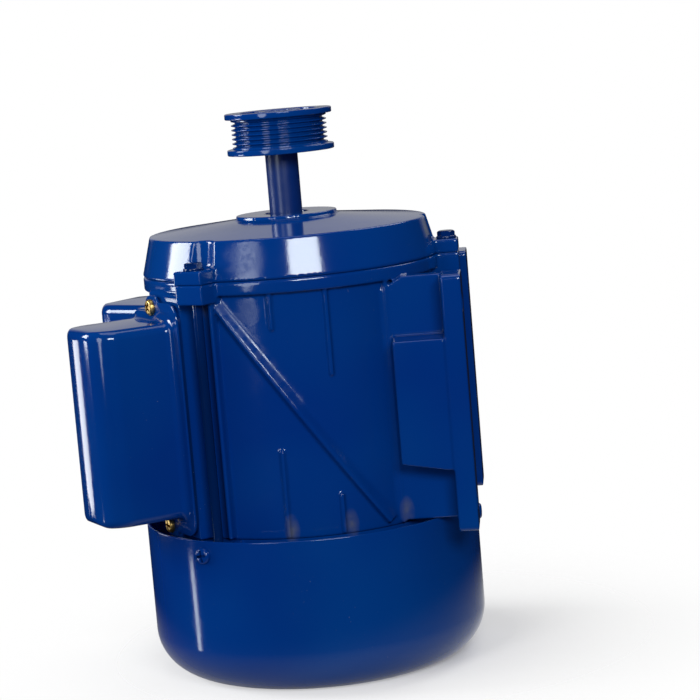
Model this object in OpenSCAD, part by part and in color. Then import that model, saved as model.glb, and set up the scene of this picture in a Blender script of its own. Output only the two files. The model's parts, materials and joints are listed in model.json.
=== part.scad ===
// Foot-mounted single-phase induction motor with two capacitor covers,
// standing on its fan cover with the shaft and its pulley upwards.
// The origin is on the shaft axis at the fan cover's flat bottom.
// +Z runs along the shaft to the pulley, +X points to the foot.

/* [Housing] */
// Outer radius of the cast barrel
barrel_r = 74; // [72.5:0.5:75.5]
// Radius of the machined bore that holds the stator
bore_r = 69; // [67:0.5:70]
// Length of the housing from the fan end to the parting line
housing_len = 131; // [128:0.5:136]
// Radius of the band under the parting line
band_r = 77.2; // [76:0.2:79]
// Height of the band
band_h = 7; // [5:0.5:9]
// Height of the cast ribs over the barrel
rib_h = 1.5; // [1:0.1:2.5]
// Width of the cast ribs
rib_w = 2; // [1.6:0.1:3]
// Height of the diagonal rib over the barrel
diagonal_h = 3.2; // [2:0.1:4.5]
// Width of the diagonal rib at its root
diagonal_w = 6.5; // [5:0.5:9]

/* [Foot] */
// Distance from the shaft axis to the foot's face
shaft_height = 90; // [89.5:0.5:96]
// Thickness of the foot rails
foot_t = 10; // [8:0.5:10.5]
// Overall width across the two rails
foot_w = 140; // [138:1:146]
// Length of the foot along the shaft
foot_len = 129; // [126:0.5:132]
// Spacing of the foot holes across the shaft
hole_span_a = 125; // [123:0.5:127]
// Spacing of the foot holes along the shaft
hole_span_b = 100; // [96:1:104]
// Diameter of the foot holes
foot_hole_d = 9; // [7:0.5:9.5]
// Half width across the outer faces of the foot's walls
web_half_w = 55.5; // [53:0.5:56]
// Thickness of the foot's walls
web_t = 10; // [8:0.5:12]
// How far the side blocks stand back from the rails' outer faces
block_back = 1; // [0.5:0.5:3]
// Height of the side blocks along the shaft
block_len = 66; // [58:1:70]

/* [Drive end shield] */
// Height of the tapered skirt
skirt_h = 20; // [18:0.5:23]
// Radius of the skirt's sharp top edge
skirt_top_r = 72.2; // [71:0.2:74]
// Rise of the crown from that edge to the boss
crown_rise = 4.7; // [3.5:0.1:5.5]
// Radius of the raised bearing boss
boss_r = 26.2; // [25:0.2:29]
// Height of the raised bearing boss
boss_h = 2.2; // [1.5:0.1:3.5]
// Wall of the end shield
shield_wall = 5; // [4:0.5:6]
// Depth of the spigots that centre both end shields
spigot_h = 5; // [4:0.5:7]

/* [Through bolts] */
// Radius of the circle that the three bolts stand on
bolt_circle_r = 82; // [81.5:0.1:82.4]
// Diameter of the through bolts
through_bolt_d = 5; // [4:0.5:5.5]
// Width of the bolt ears
ear_w = 16.5; // [14:0.5:18]
// Wall of the bolt ears outside the bolt circle
ear_wall = 6; // [5:0.5:7]
// Height of an ear on the end shield
shield_ear_h = 7; // [6:0.5:9]
// Height of an ear on the housing
housing_ear_h = 10; // [8:0.5:12]
// Width across flats of the bolt heads
bolt_head_af = 8; // [7:0.5:9]

/* [Fan cover] */
// Height of the fan cover
fan_cover_h = 81; // [79:0.5:84]
// Outer radius of the fan cover
fan_cover_r = 87.4; // [86.8:0.2:88]
// Outer corner radius of the drawn cup
fan_cover_corner_r = 24; // [18:1:32]
// Sheet thickness of the fan cover
fan_cover_t = 1.2; // [0.8:0.1:1.4]
// Number of air slots in the cover's bottom
air_slots = 20; // [12:1:24]
// Width of an air slot
air_slot_w = 4; // [3:0.5:5]
// Distance of the cover screws below the rim
cover_screw_drop = 7.4; // [6.5:0.1:9]
// Angle between a cover screw and its through bolt
cover_screw_offset = 4; // [3.8:0.1:4.5]

/* [Capacitor covers] */
// Angle of each cover from the side opposite the foot
cover_angle = 32; // [31:0.5:34]
// Distance of the cover's crown from the shaft axis
cover_reach = 124.5; // [122:0.5:128]
// Half width of the pressed cover
cover_half_w = 23; // [22:0.5:24.5]
// Outer corner radius of the pressed cover
cover_corner_r = 14; // [12:1:18]
// Radius of the cover's end edges
cover_edge_r = 5; // [4:0.5:8]
// Length of the pressed cover
cover_len = 100; // [97:1:103]
// Sheet thickness of the covers
cover_t = 1.2; // [0.8:0.1:1.6]
// Half width of the cover's base flange on its outer side
flange_half_w = 30; // [28:0.5:30.5]
// Half width of the base flange on the side of the other cover
flange_in_w = 27.5; // [26.5:0.5:28.5]
// Distance of a cover's screws beyond its ends
cover_screw_gap = 6.5; // [5.5:0.5:7]
// Thickness of the cover gaskets
gasket_t = 1.5; // [1:0.1:2]
// Distance of the cast cover seats from the shaft axis
pad_reach = 78; // [77:0.2:79]
// Radius of the start capacitor
start_cap_r = 17; // [14:0.5:18]
// Radius of the run capacitor
run_cap_r = 15; // [12:0.5:17]

/* [Shaft and bearings] */
// Shaft diameter at the bearings and the drive end
shaft_d = 17; // [16:0.5:17]
// Shaft diameter under the rotor
rotor_seat_d = 20; // [19:0.5:22]
// Shaft diameter at the fan and the pulley
shaft_end_d = 14; // [12:0.5:15]
// Free shaft between the boss and the pulley
shaft_free_len = 31.4; // [26:0.2:40]
// Outer diameter of the ball bearings
bearing_od = 40; // [38:0.5:42]
// Width of the ball bearings
bearing_w = 12; // [11:0.5:13]
// Diameter of the bearing balls
ball_d = 6.7; // [6:0.1:7]
// Radial clearance of the running fits
run_gap = 0.05; // [0.02:0.01:0.08]
// Clearance of seats that don't move
seat_gap = 0.02; // [0.01:0.01:0.05]

/* [Stator and rotor] */
// Length of the stator and rotor stacks
stack_len = 66; // [60:1:68]
// Radius of the stator's inner face
stator_bore_r = 40; // [38:0.5:42]
// Air gap between stator and rotor
air_gap = 0.4; // [0.3:0.05:0.6]
// Number of stator slots
stator_slots = 24; // [18:6:24]
// Number of rotor bars
rotor_bars = 30; // [22:2:32]
// Length of the winding overhang at each end
overhang = 20; // [16:1:21]

/* [Pulley] */
// Radius of the pulley's flanges
pulley_r = 27.8; // [26:0.2:32]
// Radius of the belt seat at the rib crests
belt_seat_r = 24.8; // [23:0.2:25.5]
// Height of the pulley
pulley_h = 21.6; // [20:0.2:24]
// Thickness of a pulley flange
pulley_flange_t = 3; // [2:0.5:3.5]
// Number of belt grooves
belt_grooves = 6; // [4:1:6]
// Pitch of the belt grooves
groove_pitch = 2.34; // [2:0.02:2.4]
// Width and height of the pulley key
key_w = 5; // [4:0.5:5]

/* [Fan] */
// Outer radius of the cooling fan
fan_r = 69; // [60:1:71]
// Number of fan blades
fan_blades = 10; // [6:1:14]

/* [Start switch] */
// Travel of the governor collar
collar_travel = 2.6; // [2:0.1:3]

/* [Hidden] */

$fn = 96;

// Overlap that makes unions and cuts clean
eps = 1;

// Colours
PAINT = [0.02, 0.20, 0.47];
ZINC = [0.80, 0.68, 0.30];
STEEL = [0.70, 0.71, 0.72];
LAMINATION = [0.33, 0.34, 0.36];
COPPER = [0.72, 0.40, 0.20];
ALUMINIUM = [0.80, 0.81, 0.82];
RUBBER = [0.08, 0.08, 0.09];
PLASTIC = [0.10, 0.10, 0.11];

// Levels along the shaft
cover_lap = 1.5;
housing_z = fan_cover_h - cover_lap;
parting_z = housing_z + housing_len;
mid_drop = 4;
mid_z = housing_z + housing_len / 2 - mid_drop;
skirt_top_z = parting_z + skirt_h;
boss_z = skirt_top_z + crown_rise;
boss_top_z = boss_z + boss_h;
pulley_z = boss_top_z + shaft_free_len;
pulley_top_z = pulley_z + pulley_h;
stack_z = mid_z + mid_drop - stack_len / 2;
stack_top_z = stack_z + stack_len;

// Bearings, held by their shields
drive_lip_t = 6;
drive_bearing_z = boss_top_z - drive_lip_t - bearing_w;
fan_bearing_set = 3.5;
fan_bearing_z = housing_z - fan_bearing_set - bearing_w;
spring_h = 2;
fan_hub_lip_t = 4;
fan_hub_z = fan_bearing_z - spring_h - fan_hub_lip_t;
bearing_r = bearing_od / 2;
shaft_r = shaft_d / 2;
ball_r = ball_d / 2;
ball_pitch_r = (bearing_r + shaft_r) / 2;
balls = 8;
land_r = ball_r * 0.66;
inner_ring_r = ball_pitch_r - land_r;
outer_ring_r = ball_pitch_r + land_r;
hub_wall = boss_r - bearing_r;
spigot_t = 4;
skirt_in_h = 4;

// Shaft
fan_seat_top_z = 50;
fan_hub_h = 28;
circlip_t = 1.2;
circlip_depth = 0.6;
shaft_tail = 6;
fan_hub_bottom_z = fan_seat_top_z - fan_hub_h;
shaft_bottom_z = fan_hub_bottom_z - circlip_t - shaft_tail;
end_r = shaft_end_d / 2;
rotor_seat_r = rotor_seat_d / 2;
shaft_hole_gap = 2.5;
shaft_hole_r = shaft_r + shaft_hole_gap;
key_len = 16;
key_depth = 3;
set_screw_r = 2.5;
key_up = 2;
shaft_chamfer = 1;
shaft_end_drop = 1;

// Through bolts
bolt_r = through_bolt_d / 2;
bolt_hole_gap = 0.3;
bolt_head_h = 4;
bolt_collar_r = 5.2;
bolt_collar_h = 1.2;
bolt_top_z = parting_z + shield_ear_h;
ear_reach = bolt_circle_r + ear_wall;
ear_root = 4;
head_pocket_r = 10;
head_pocket_top_r = 12;
lug_h = 17;
bolt_end_gap = 3;
bolt_joint = 0.2;

// Fan cover
fan_cover_in_r = fan_cover_r - fan_cover_t;
lug_gap = 0.2;
lug_r = fan_cover_in_r - lug_gap;
lug_half_w = 11;
screw_r = 2;
screw_head_r = 3.75;
screw_head_h = 2.6;
screw_hole_gap = 0.2;
screw_dome_share = 0.9;
hole_reach = 4;
cover_screw_z = fan_cover_h - cover_screw_drop;
cover_screw_len = 8;
air_slot_in_r = 15;
air_slot_margin = 5;
air_slot_out_r = fan_cover_r - fan_cover_corner_r - air_slot_margin;

// Foot
foot_x = shaft_height - foot_t;
foot_half_w = foot_w / 2;
rail_lip = 1;
rail_in = web_half_w - web_t - rail_lip;
web_x = 46;
web_corner_x = 60;
web_corner_drop = 8;
block_x = 54;
block_out = foot_half_w - block_back - web_half_w;
block_slope = 1.7;
block_rise = 4.5;
foot_corner_r = 2.5;
foot_gap = 0.5;
foot_top_z = mid_z + foot_len / 2;
web_z = fan_cover_h + foot_gap;
web_top_z = foot_top_z - rail_lip / 2;
web_rib_turn = 2;
web_rib_angle = -acos(sqrt(barrel_r * barrel_r - web_half_w * web_half_w) / barrel_r);

// Edges, roots and ribs of the housing
edge_chamfer = 0.8;
rib_root = 2;
rib_end_share = 0.45;
web_rib_extra = 1;
// Ribs on the barrel: angle, length of the upper stretch, height of the lower stretch
ribs = [[266.6, 22, 45], [288, 47, 21]];
rib_top_z = parting_z - band_h / 2;
rib_foot_gap = 0.7;
rib_bottom_z = housing_z + rib_foot_gap;
groove_rib_angle = 243.5;
groove_rib_h = 4.5;
diagonal_start = [-42, parting_z - band_h - 2.5];
diagonal_end = [39.5, housing_z + 3];
diagonal_crest_w = 1.4;
diagonal_steps = 12;
view_turn = 6;

// Capacitor covers
pad_margin = 1;
pad_half_w = flange_half_w - pad_margin;
pad_in_w = flange_in_w - pad_margin;
pad_root = 24;
pad_lift = 0.5;
screw_depth = 6;
flange_x = pad_reach + gasket_t;
cover_screw_span = cover_len + 2 * cover_screw_gap;
flange_end_w = 17;
flange_lip = 4;
flange_end_margin = 6;
flange_len = cover_screw_span + 2 * flange_end_margin;
flange_corner_r = 9;
flange_side_len = 2 * (mid_z - fan_cover_h - foot_gap);
flange_ear_r = flange_end_w / 2 - 1;
flare = 3.5;
flare_skin = 0.2;
flare_rise = 1.3;
flare_inset = 0.3;
hump_base_t = 1;
hump_below = 2;
gasket_margin = 0.6;
cover_in_half_w = cover_half_w - cover_t;
lead_window_w = 18;
lead_window_h = 9;
lead_window_z = stack_top_z + 8;
clamp_t = 1;
clamp_h = 11;
clamp_foot_w = 36;
clamp_spread = 22;
clamp_foot_extra = 0.6;
can_step = 1;
can_rim = 1.5;
tab_t = 0.8;
tab_w = 6;
tab_h = 9;
tab_sink = 2;
tab_share = 0.4;
cap_end_room = 20;
start_cap_len = cover_len - cap_end_room;
start_cap_z = mid_z - start_cap_len / 2;
block_h = 20;
block_w = 30;
block_d = 13;
terminal_up = 10;
terminal_z = mid_z - cover_len / 2 + terminal_up;
terminal_gap = 2;
run_cap_z = terminal_z + block_h + terminal_gap;
run_cap_room = 12;
run_cap_len = mid_z + cover_len / 2 - run_cap_room - run_cap_z;
gland_r = 8;
gland_hex_af = 20;
gland_flange_t = 5;
gland_out = 22;
gland_x = flange_x + gland_out;
gland_wall_z = mid_z - cover_len / 2;
gland_gap = 1;
gland_len = gland_wall_z - fan_cover_h - gland_gap;
nut_t = 4;
thread_end = 2;
gland_wall = 3.5;
gland_taper = 1;

// Stator and rotor
rotor_r = stator_bore_r - air_gap;
bar_r = 2.3;
bar_circle_r = rotor_r - bar_r - 1.4;
end_ring_h = 8;
end_ring_in_r = 24;
slot_in_r = stator_bore_r + 2.4;
core_back = 11;
slot_out_r = bore_r - core_back;
slot_mouth_w = 2.4;
slot_share = 0.56;
coil_gap = 0.3;
coil_round = 5;
coil_out = 4;
bar_end = 0.5;

// Governor on the shaft and the fixed switch board
governor_hub_h = 8;
governor_hub_z = stack_z - end_ring_h - 1 - governor_hub_h;
governor_hub_r = 16;
pivot_r = 22;
pivot_pin_r = 1.2;
weight_half_w = 4;
arm_gap = 0.5;
arm_t = 3;
arm_half_r = 3;
weight_half_r = 2.8;
weight_below = 2;
weight_above = 15;
finger_in_r = 13.5;
finger_h = 2;
groove_in_r = 12.2;
collar_r = 15;
collar_below = 3.5;
collar_groove_h = 4;
collar_above = 2;
collar_room = 1.4;
collar_top_up = (finger_h + collar_groove_h) / 2 + collar_above;
pivot_z = governor_hub_z - collar_top_up - collar_travel - collar_room;
arm_drop = 2.5;
collar_z = pivot_z + finger_h / 2 - collar_groove_h / 2 - collar_below;
board_t = 2;
board_in_r = 24;
board_out_r = 42;
board_start = 20;
board_angle = 140;
contact_turns = [45, 135];
contact_w = 8;
contact_h = 4;
contact_joint = 0.2;

// Pulley
groove_depth = 2;
groove_floor = 0.4;
key_top_gap = 0.1;
pulley_recess = 5;
pulley_recess_in_r = 12;
pulley_recess_out_r = 20;

// Shapes that several pieces share

// A ring of rectangular section, standing on z = 0
module ring(outer, inner, height) {
    rotate_extrude() translate([inner, 0]) square([outer - inner, height]);
}

// The three places of the through bolts
module at_bolts() {
    for (turn = [0:120:240]) rotate(turn) translate([bolt_circle_r, 0, 0]) children();
}

// The frame of a capacitor cover: side 1 is the start capacitor, side -1 the run capacitor.
// +X points out through the cover, and +Y away from the other cover.
module at_cover(side) {
    mirror([0, side > 0 ? 0 : 1, 0]) rotate(180 + cover_angle) children();
}

// A flat outline in the plane across the cover's +X, drawn with x across and y along the shaft
module across_cover(distance, thickness) {
    translate([distance, 0, mid_z]) rotate([90, 0, 90]) linear_extrude(thickness) children();
}

// A rectangle with round corners, centred
module round_rect(width, height, radius) {
    difference() {
        square([width, height], center = true);
        for (sx = [-1, 1], sy = [-1, 1])
            translate([sx * (width / 2 - radius), sy * (height / 2 - radius)])
                difference() {
                    translate([min(0, sx * (radius + eps)), min(0, sy * (radius + eps))])
                        square(radius + eps);
                    circle(radius);
                }
    }
}

// A pan head screw along +X with the seat of its head at x = 0
module pan_screw(length) {
    rotate([0, 90, 0]) {
        rotate_extrude() intersection() {
            square([screw_head_r, screw_head_h]);
            translate([0, -screw_head_r * screw_dome_share])
                circle(screw_head_h + screw_head_r * screw_dome_share);
        }
        translate([0, 0, -length]) cylinder(r = screw_r, h = length + eps);
    }
}

// A block from the axis side of an ear to its reach
module ear(height) {
    translate([barrel_r - ear_root, -ear_w / 2, 0]) cube([ear_reach - barrel_r + ear_root, ear_w, height]);
}

// Housing

// Upright rib at an angle, from one level to another, with round ends
module barrel_rib(angle, from_z, to_z, height, width) {
    rotate(angle) translate([barrel_r - rib_root, 0, (from_z + to_z) / 2]) rotate([90, 0, 90])
        linear_extrude(height + rib_root) round_rect(width, to_z - from_z, width * rib_end_share);
}

// The diagonal rib lies in one plane seen from the near side and follows the barrel
function diagonal_point(share, across, radius) =
    let (along = diagonal_end - diagonal_start,
         normal = [-along[1], along[0]] / norm(along),
         flat = diagonal_start + along * share + normal * across)
    [flat[0], -sqrt(radius * radius - flat[0] * flat[0]), flat[1]];

module diagonal_rib() {
    section = [[-diagonal_w / 2, barrel_r - rib_root], [diagonal_w / 2, barrel_r - rib_root],
               [diagonal_crest_w / 2, barrel_r + diagonal_h],
               [-diagonal_crest_w / 2, barrel_r + diagonal_h]];
    corners = len(section);
    points = [for (step = [0:diagonal_steps], corner = section)
        diagonal_point(step / diagonal_steps, corner[0], corner[1])];
    sides = [for (step = [0:diagonal_steps - 1], side = [0:corners - 1])
        let (a = step * corners + side, b = step * corners + (side + 1) % corners)
        each [[a, b + corners, b], [a, a + corners, b + corners]]];
    last = diagonal_steps * corners;
    ends = [[0, 1, 2], [0, 2, 3], [last, last + 2, last + 1], [last, last + 3, last + 2]];
    rotate(view_turn) polyhedron(points, concat(sides, ends));
}

// One side of the foot: a wall on the barrel, a side block and a drilled rail
module foot_wall() {
    translate([0, web_half_w, 0]) rotate([90, 0, 0]) linear_extrude(web_t) polygon([
        [web_x, web_z], [foot_x + eps, web_z], [foot_x + eps, web_top_z], [web_corner_x, web_top_z],
        [web_x, web_top_z - web_corner_drop]]);
}

module foot_block() {
    low = mid_z - block_len / 2;
    high = mid_z + block_len / 2;
    intersection() {
        translate([block_x, web_half_w, 0]) rotate([90, 0, 90]) linear_extrude(foot_x + 2 * eps - block_x)
            polygon([[-eps, low], [block_out, low], [block_out, high], [-eps, high + block_slope]]);
        translate([0, foot_half_w, 0]) rotate([90, 0, 0]) linear_extrude(foot_half_w) polygon([
            [block_x - eps, low + block_rise], [foot_x + 3 * eps, low - eps],
            [foot_x + 3 * eps, high + foot_len], [block_x - eps, high + foot_len]]);
    }
}

module foot_rail() {
    difference() {
        translate([foot_x, (foot_half_w + rail_in) / 2, mid_z]) rotate([90, 0, 90])
            linear_extrude(foot_t) round_rect(foot_half_w - rail_in, foot_len, foot_corner_r);
        for (end = [-1, 1])
            translate([foot_x - eps, hole_span_a / 2, mid_z + end * hole_span_b / 2]) rotate([0, 90, 0])
                cylinder(d = foot_hole_d, h = foot_t + 2 * eps);
    }
}

module foot() {
    for (side = [0, 1]) mirror([0, side, 0]) {
        foot_wall();
        foot_block();
        foot_rail();
    }
}

// Flat seat of one capacitor cover
module cover_pad() {
    depth = pad_reach - barrel_r + pad_root;
    end_w = flange_end_w / 2;
    side_len = cover_len + 2 * flange_lip;
    translate([barrel_r - pad_root, -end_w, housing_z + pad_lift])
        cube([depth, end_w + pad_half_w, parting_z - band_h - housing_z - pad_lift + eps]);
    translate([barrel_r - pad_root, -pad_in_w, mid_z - side_len / 2]) cube([depth, pad_in_w, side_len]);
}

module cover_pad_cuts() {
    translate([barrel_r - pad_root, -lead_window_w / 2, lead_window_z])
        cube([pad_reach, lead_window_w, lead_window_h]);
    for (end = [-1, 1]) translate([pad_reach - screw_depth, 0, mid_z + end * cover_screw_span / 2])
        rotate([0, 90, 0]) cylinder(r = screw_r + seat_gap, h = screw_depth + eps);
}

module housing() {
    color(PAINT) difference() {
        union() {
            translate([0, 0, housing_z]) cylinder(r = barrel_r, h = housing_len);
            translate([0, 0, parting_z - band_h])
                cylinder(r = band_r, h = band_h - edge_chamfer);
            translate([0, 0, parting_z - edge_chamfer])
                cylinder(r1 = band_r, r2 = band_r - edge_chamfer, h = edge_chamfer);
            for (turn = [0:120:240]) rotate(turn)
                translate([0, 0, parting_z - housing_ear_h]) ear(housing_ear_h);
            foot();
            for (side = [-1, 1]) at_cover(side) cover_pad();
            for (side = [0, 1]) mirror([0, side, 0]) {
                for (rib = ribs) {
                    barrel_rib(rib[0], rib_top_z - rib[1], rib_top_z, rib_h, rib_w);
                    barrel_rib(rib[0], rib_bottom_z, housing_z + rib[2], rib_h, rib_w);
                }
                barrel_rib(groove_rib_angle, rib_bottom_z, rib_top_z, groove_rib_h, rib_w);
                barrel_rib(web_rib_angle + web_rib_turn, rib_bottom_z, rib_top_z, rib_h + web_rib_extra,
                    rib_w);
                diagonal_rib();
            }
        }
        translate([0, 0, housing_z - eps]) cylinder(r = bore_r, h = housing_len + 2 * eps);
        at_bolts() translate([0, 0, parting_z - housing_ear_h - eps])
            cylinder(r = bolt_r + bolt_hole_gap, h = housing_ear_h + 2 * eps);
        for (side = [-1, 1]) at_cover(side) cover_pad_cuts();
    }
}

// End shields

module drive_end_shield() {
    hub_bottom = drive_bearing_z;
    spigot_r = bore_r - seat_gap;
    skirt_in = bore_r - spigot_t;
    color(PAINT) difference() {
        union() {
            rotate_extrude() polygon([
                [band_r - edge_chamfer, parting_z], [band_r, parting_z + edge_chamfer],
                [skirt_top_r, skirt_top_z],
                [boss_r, boss_z], [boss_r, boss_top_z], [shaft_hole_r, boss_top_z],
                [shaft_hole_r, drive_bearing_z + bearing_w],
                [bearing_r + seat_gap, drive_bearing_z + bearing_w],
                [bearing_r + seat_gap, hub_bottom], [boss_r, hub_bottom],
                [boss_r, boss_z - shield_wall], [skirt_top_r - shield_wall, skirt_top_z - shield_wall],
                [skirt_in, parting_z + skirt_in_h], [skirt_in, parting_z - spigot_h],
                [spigot_r, parting_z - spigot_h], [spigot_r, parting_z]]);
            for (turn = [0:120:240]) rotate(turn) translate([0, 0, parting_z]) intersection() {
                ear(shield_ear_h);
                ring(2 * ear_reach, barrel_r - eps, shield_ear_h);
            }
        }
        at_bolts() {
            translate([0, 0, parting_z - eps])
                cylinder(r = bolt_r + bolt_hole_gap, h = shield_ear_h + 2 * eps);
            translate([0, 0, bolt_top_z])
                cylinder(r1 = head_pocket_r, r2 = head_pocket_top_r, h = skirt_top_z - bolt_top_z + eps);
        }
    }
}

module fan_end_shield() {
    plate_t = 7;
    hub_r = bearing_r + hub_wall;
    lip_gap = 1.5;
    lip_r = shaft_r + lip_gap;
    spigot_r = bore_r - seat_gap;
    stiffener_t = 4;
    stiffener_up = 4;
    stiffener_end = 2;
    stiffener_h = housing_z - plate_t - fan_hub_z - stiffener_up;
    color(PAINT) difference() {
        union() {
            rotate_extrude() polygon([
                [lip_r, fan_hub_z], [hub_r, fan_hub_z], [hub_r, housing_z - plate_t],
                [barrel_r, housing_z - plate_t], [barrel_r, housing_z], [spigot_r, housing_z],
                [spigot_r, housing_z + spigot_h], [spigot_r - spigot_t, housing_z + spigot_h],
                [spigot_r - spigot_t, housing_z], [bearing_r + seat_gap, housing_z],
                [bearing_r + seat_gap, fan_bearing_z - spring_h], [lip_r, fan_bearing_z - spring_h]]);
            for (turn = [0:60:300]) rotate(turn + 30)
                translate([hub_r - eps, -stiffener_t / 2, fan_hub_z + stiffener_up])
                    cube([barrel_r - hub_r - stiffener_end, stiffener_t, stiffener_h + eps]);
            for (turn = [0:120:240]) rotate(turn - cover_screw_offset / 2)
                translate([0, 0, housing_z - lug_h]) intersection() {
                    translate([barrel_r - ear_root, -lug_half_w, 0]) cube([lug_r, 2 * lug_half_w, lug_h]);
                    cylinder(r = lug_r, h = lug_h);
                }
        }
        at_bolts() translate([0, 0, housing_z - lug_h - eps])
            cylinder(r = bolt_r + seat_gap, h = lug_h + 2 * eps);
        for (turn = [0:120:240]) rotate(turn - cover_screw_offset)
            translate([lug_r - cover_screw_len, 0, cover_screw_z]) rotate([0, 90, 0])
                cylinder(r = screw_r + seat_gap, h = cover_screw_len + eps);
    }
}

// Fan cover

// Half section of a drawn cup, to be turned about the shaft
module cup_section(radius, corner, bottom, top) {
    translate([0, bottom + corner]) square([radius, top - bottom - corner]);
    translate([0, bottom]) square([radius - corner, corner + eps]);
    intersection() {
        translate([radius - corner, bottom + corner]) circle(corner);
        translate([radius - corner - eps, bottom]) square([corner + eps, corner + eps]);
    }
}

module air_slot() {
    translate([air_slot_in_r, -air_slot_w / 2]) square([air_slot_out_r - air_slot_in_r, air_slot_w]);
    for (end = [air_slot_in_r, air_slot_out_r]) translate([end, 0]) circle(d = air_slot_w);
}

module fan_cover() {
    color(PAINT) difference() {
        rotate_extrude() difference() {
            cup_section(fan_cover_r, fan_cover_corner_r, 0, fan_cover_h);
            cup_section(fan_cover_in_r, fan_cover_corner_r - fan_cover_t, fan_cover_t, fan_cover_h + eps);
        }
        for (slot = [0:air_slots - 1]) rotate(slot * 360 / air_slots)
            translate([0, 0, -eps]) linear_extrude(fan_cover_t + 2 * eps) air_slot();
        for (turn = [0:120:240]) rotate(turn - cover_screw_offset)
            translate([fan_cover_in_r - hole_reach, 0, cover_screw_z]) rotate([0, 90, 0])
                cylinder(r = screw_r + screw_hole_gap, h = fan_cover_t + 2 * hole_reach);
    }
}

// Fasteners outside

module through_bolts() {
    bolt_len = bolt_top_z - housing_z + lug_h - bolt_end_gap;
    color(PAINT) at_bolts() translate([0, 0, bolt_top_z]) {
        cylinder(r = bolt_collar_r, h = bolt_collar_h);
        translate([0, 0, bolt_collar_h - bolt_joint])
            cylinder(r = bolt_head_af / sqrt(3), h = bolt_head_h - bolt_collar_h + bolt_joint, $fn = 6);
        translate([0, 0, -bolt_len]) cylinder(r = bolt_r, h = bolt_len + bolt_joint);
    }
}

module fan_cover_screws() {
    color(PAINT) for (turn = [0:120:240]) rotate(turn - cover_screw_offset)
        translate([fan_cover_r, 0, cover_screw_z]) pan_screw(cover_screw_len);
}

module capacitor_cover_screws() {
    color(ZINC) for (side = [-1, 1], end = [-1, 1]) at_cover(side)
        translate([flange_x + cover_t, 0, mid_z + end * cover_screw_span / 2]) pan_screw(screw_depth);
}

// Capacitor covers

// Round-edged column at an outer corner of the pressed cover
module cover_column(radius, edge, length) {
    rotate_extrude($fn = 28) {
        translate([0, -length / 2]) square([radius - edge, length]);
        translate([0, -length / 2 + edge]) square([radius, length - 2 * edge]);
        for (end = [-1, 1]) translate([radius - edge, end * (length / 2 - edge)])
            intersection() {
                circle(edge, $fn = 20);
                translate([0, end > 0 ? 0 : -edge]) square(edge);
            }
    }
}

// Closed hump of the pressed cover, smaller by inset on every side
module cover_hump(inset, base) {
    corner = cover_corner_r - inset;
    edge = cover_edge_r - inset;
    length = cover_len - 2 * inset;
    hull() {
        for (side = [-1, 1])
            translate([cover_reach - cover_corner_r, side * (cover_half_w - cover_corner_r), mid_z])
                cover_column(corner, edge, length);
        translate([base, 0, mid_z]) rotate([90, 0, 90]) linear_extrude(hump_base_t)
            offset(r = edge, $fn = 20)
                square([2 * (cover_half_w - cover_edge_r), cover_len - 2 * cover_edge_r], center = true);
    }
}

// A rectangle with round corners between two places across the cover
module flange_strip(from, to, length, radius) {
    translate([(from + to) / 2, 0]) round_rect(to - from, length, radius);
}

// Outline of the base flange, wide on its outer side, with an ear for the screw at each end
module flange_outline(grow) {
    end_w = flange_end_w / 2;
    lip_len = cover_len + 2 * flange_lip;
    flange_strip(-end_w / 2, flange_half_w + grow, flange_side_len + 2 * grow, flange_corner_r);
    flange_strip(-flange_in_w - grow, flange_half_w - flange_lip, lip_len + 2 * grow, flange_corner_r);
    flange_strip(-end_w - grow, end_w + grow, flange_len + 2 * grow, flange_ear_r);
}

module flange_screw_holes() {
    for (end = [-1, 1]) translate([0, end * cover_screw_span / 2]) circle(screw_r + screw_hole_gap);
}

// Flared root that runs from the flange up into the hump
module cover_flare() {
    hull() {
        across_cover(flange_x + cover_t / 3, flare_skin)
            offset(r = cover_edge_r + flare, $fn = 20)
                square([2 * (cover_half_w - cover_edge_r), cover_len - 2 * cover_edge_r], center = true);
        across_cover(flange_x + flare + flare_rise, flare_skin)
            offset(r = cover_edge_r - flare_inset, $fn = 20)
                square([2 * (cover_half_w - cover_edge_r), cover_len - 2 * cover_edge_r], center = true);
    }
}

module pressed_cover() {
    difference() {
        union() {
            across_cover(flange_x, cover_t) difference() {
                flange_outline(0);
                flange_screw_holes();
            }
            cover_flare();
            cover_hump(0, flange_x + cover_t / 2);
        }
        cover_hump(cover_t, flange_x - hump_below);
    }
}

module start_capacitor_cover() {
    color(PAINT) at_cover(1) pressed_cover();
}

module run_capacitor_cover() {
    color(PAINT) at_cover(-1) difference() {
        pressed_cover();
        translate([gland_x, 0, gland_wall_z - eps])
            cylinder(r = gland_r + seat_gap, h = cover_t + 2 * eps);
    }
}

module cover_gasket() {
    across_cover(pad_reach, gasket_t) difference() {
        flange_outline(-gasket_margin);
        flange_screw_holes();
        round_rect(2 * cover_in_half_w, cover_len - 2 * cover_t, cover_edge_r);
    }
}

module start_cover_gasket() {
    color(RUBBER) at_cover(1) cover_gasket();
}

module run_cover_gasket() {
    color(RUBBER) at_cover(-1) cover_gasket();
}

// Capacitor can with a crimped rim and two tabs on its upper end
module capacitor(radius, length, z) {
    translate([pad_reach + 2 * clamp_t + radius, 0, z]) {
        rotate_extrude() difference() {
            union() {
                square([radius - can_step, length]);
                translate([0, can_step]) square([radius, length - 2 * can_step]);
            }
            translate([-eps, length - can_rim]) square([radius - can_step + eps, can_rim + eps]);
        }
        for (side = [-1, 1])
            translate([-tab_t / 2, side * radius * tab_share - tab_w / 2, length - tab_sink])
                cube([tab_t, tab_w, tab_h]);
    }
}

module start_capacitor() {
    color(PLASTIC) at_cover(1) capacitor(start_cap_r, start_cap_len, start_cap_z);
}

module run_capacitor() {
    color(ALUMINIUM) at_cover(-1) capacitor(run_cap_r, run_cap_len, run_cap_z);
}

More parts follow.
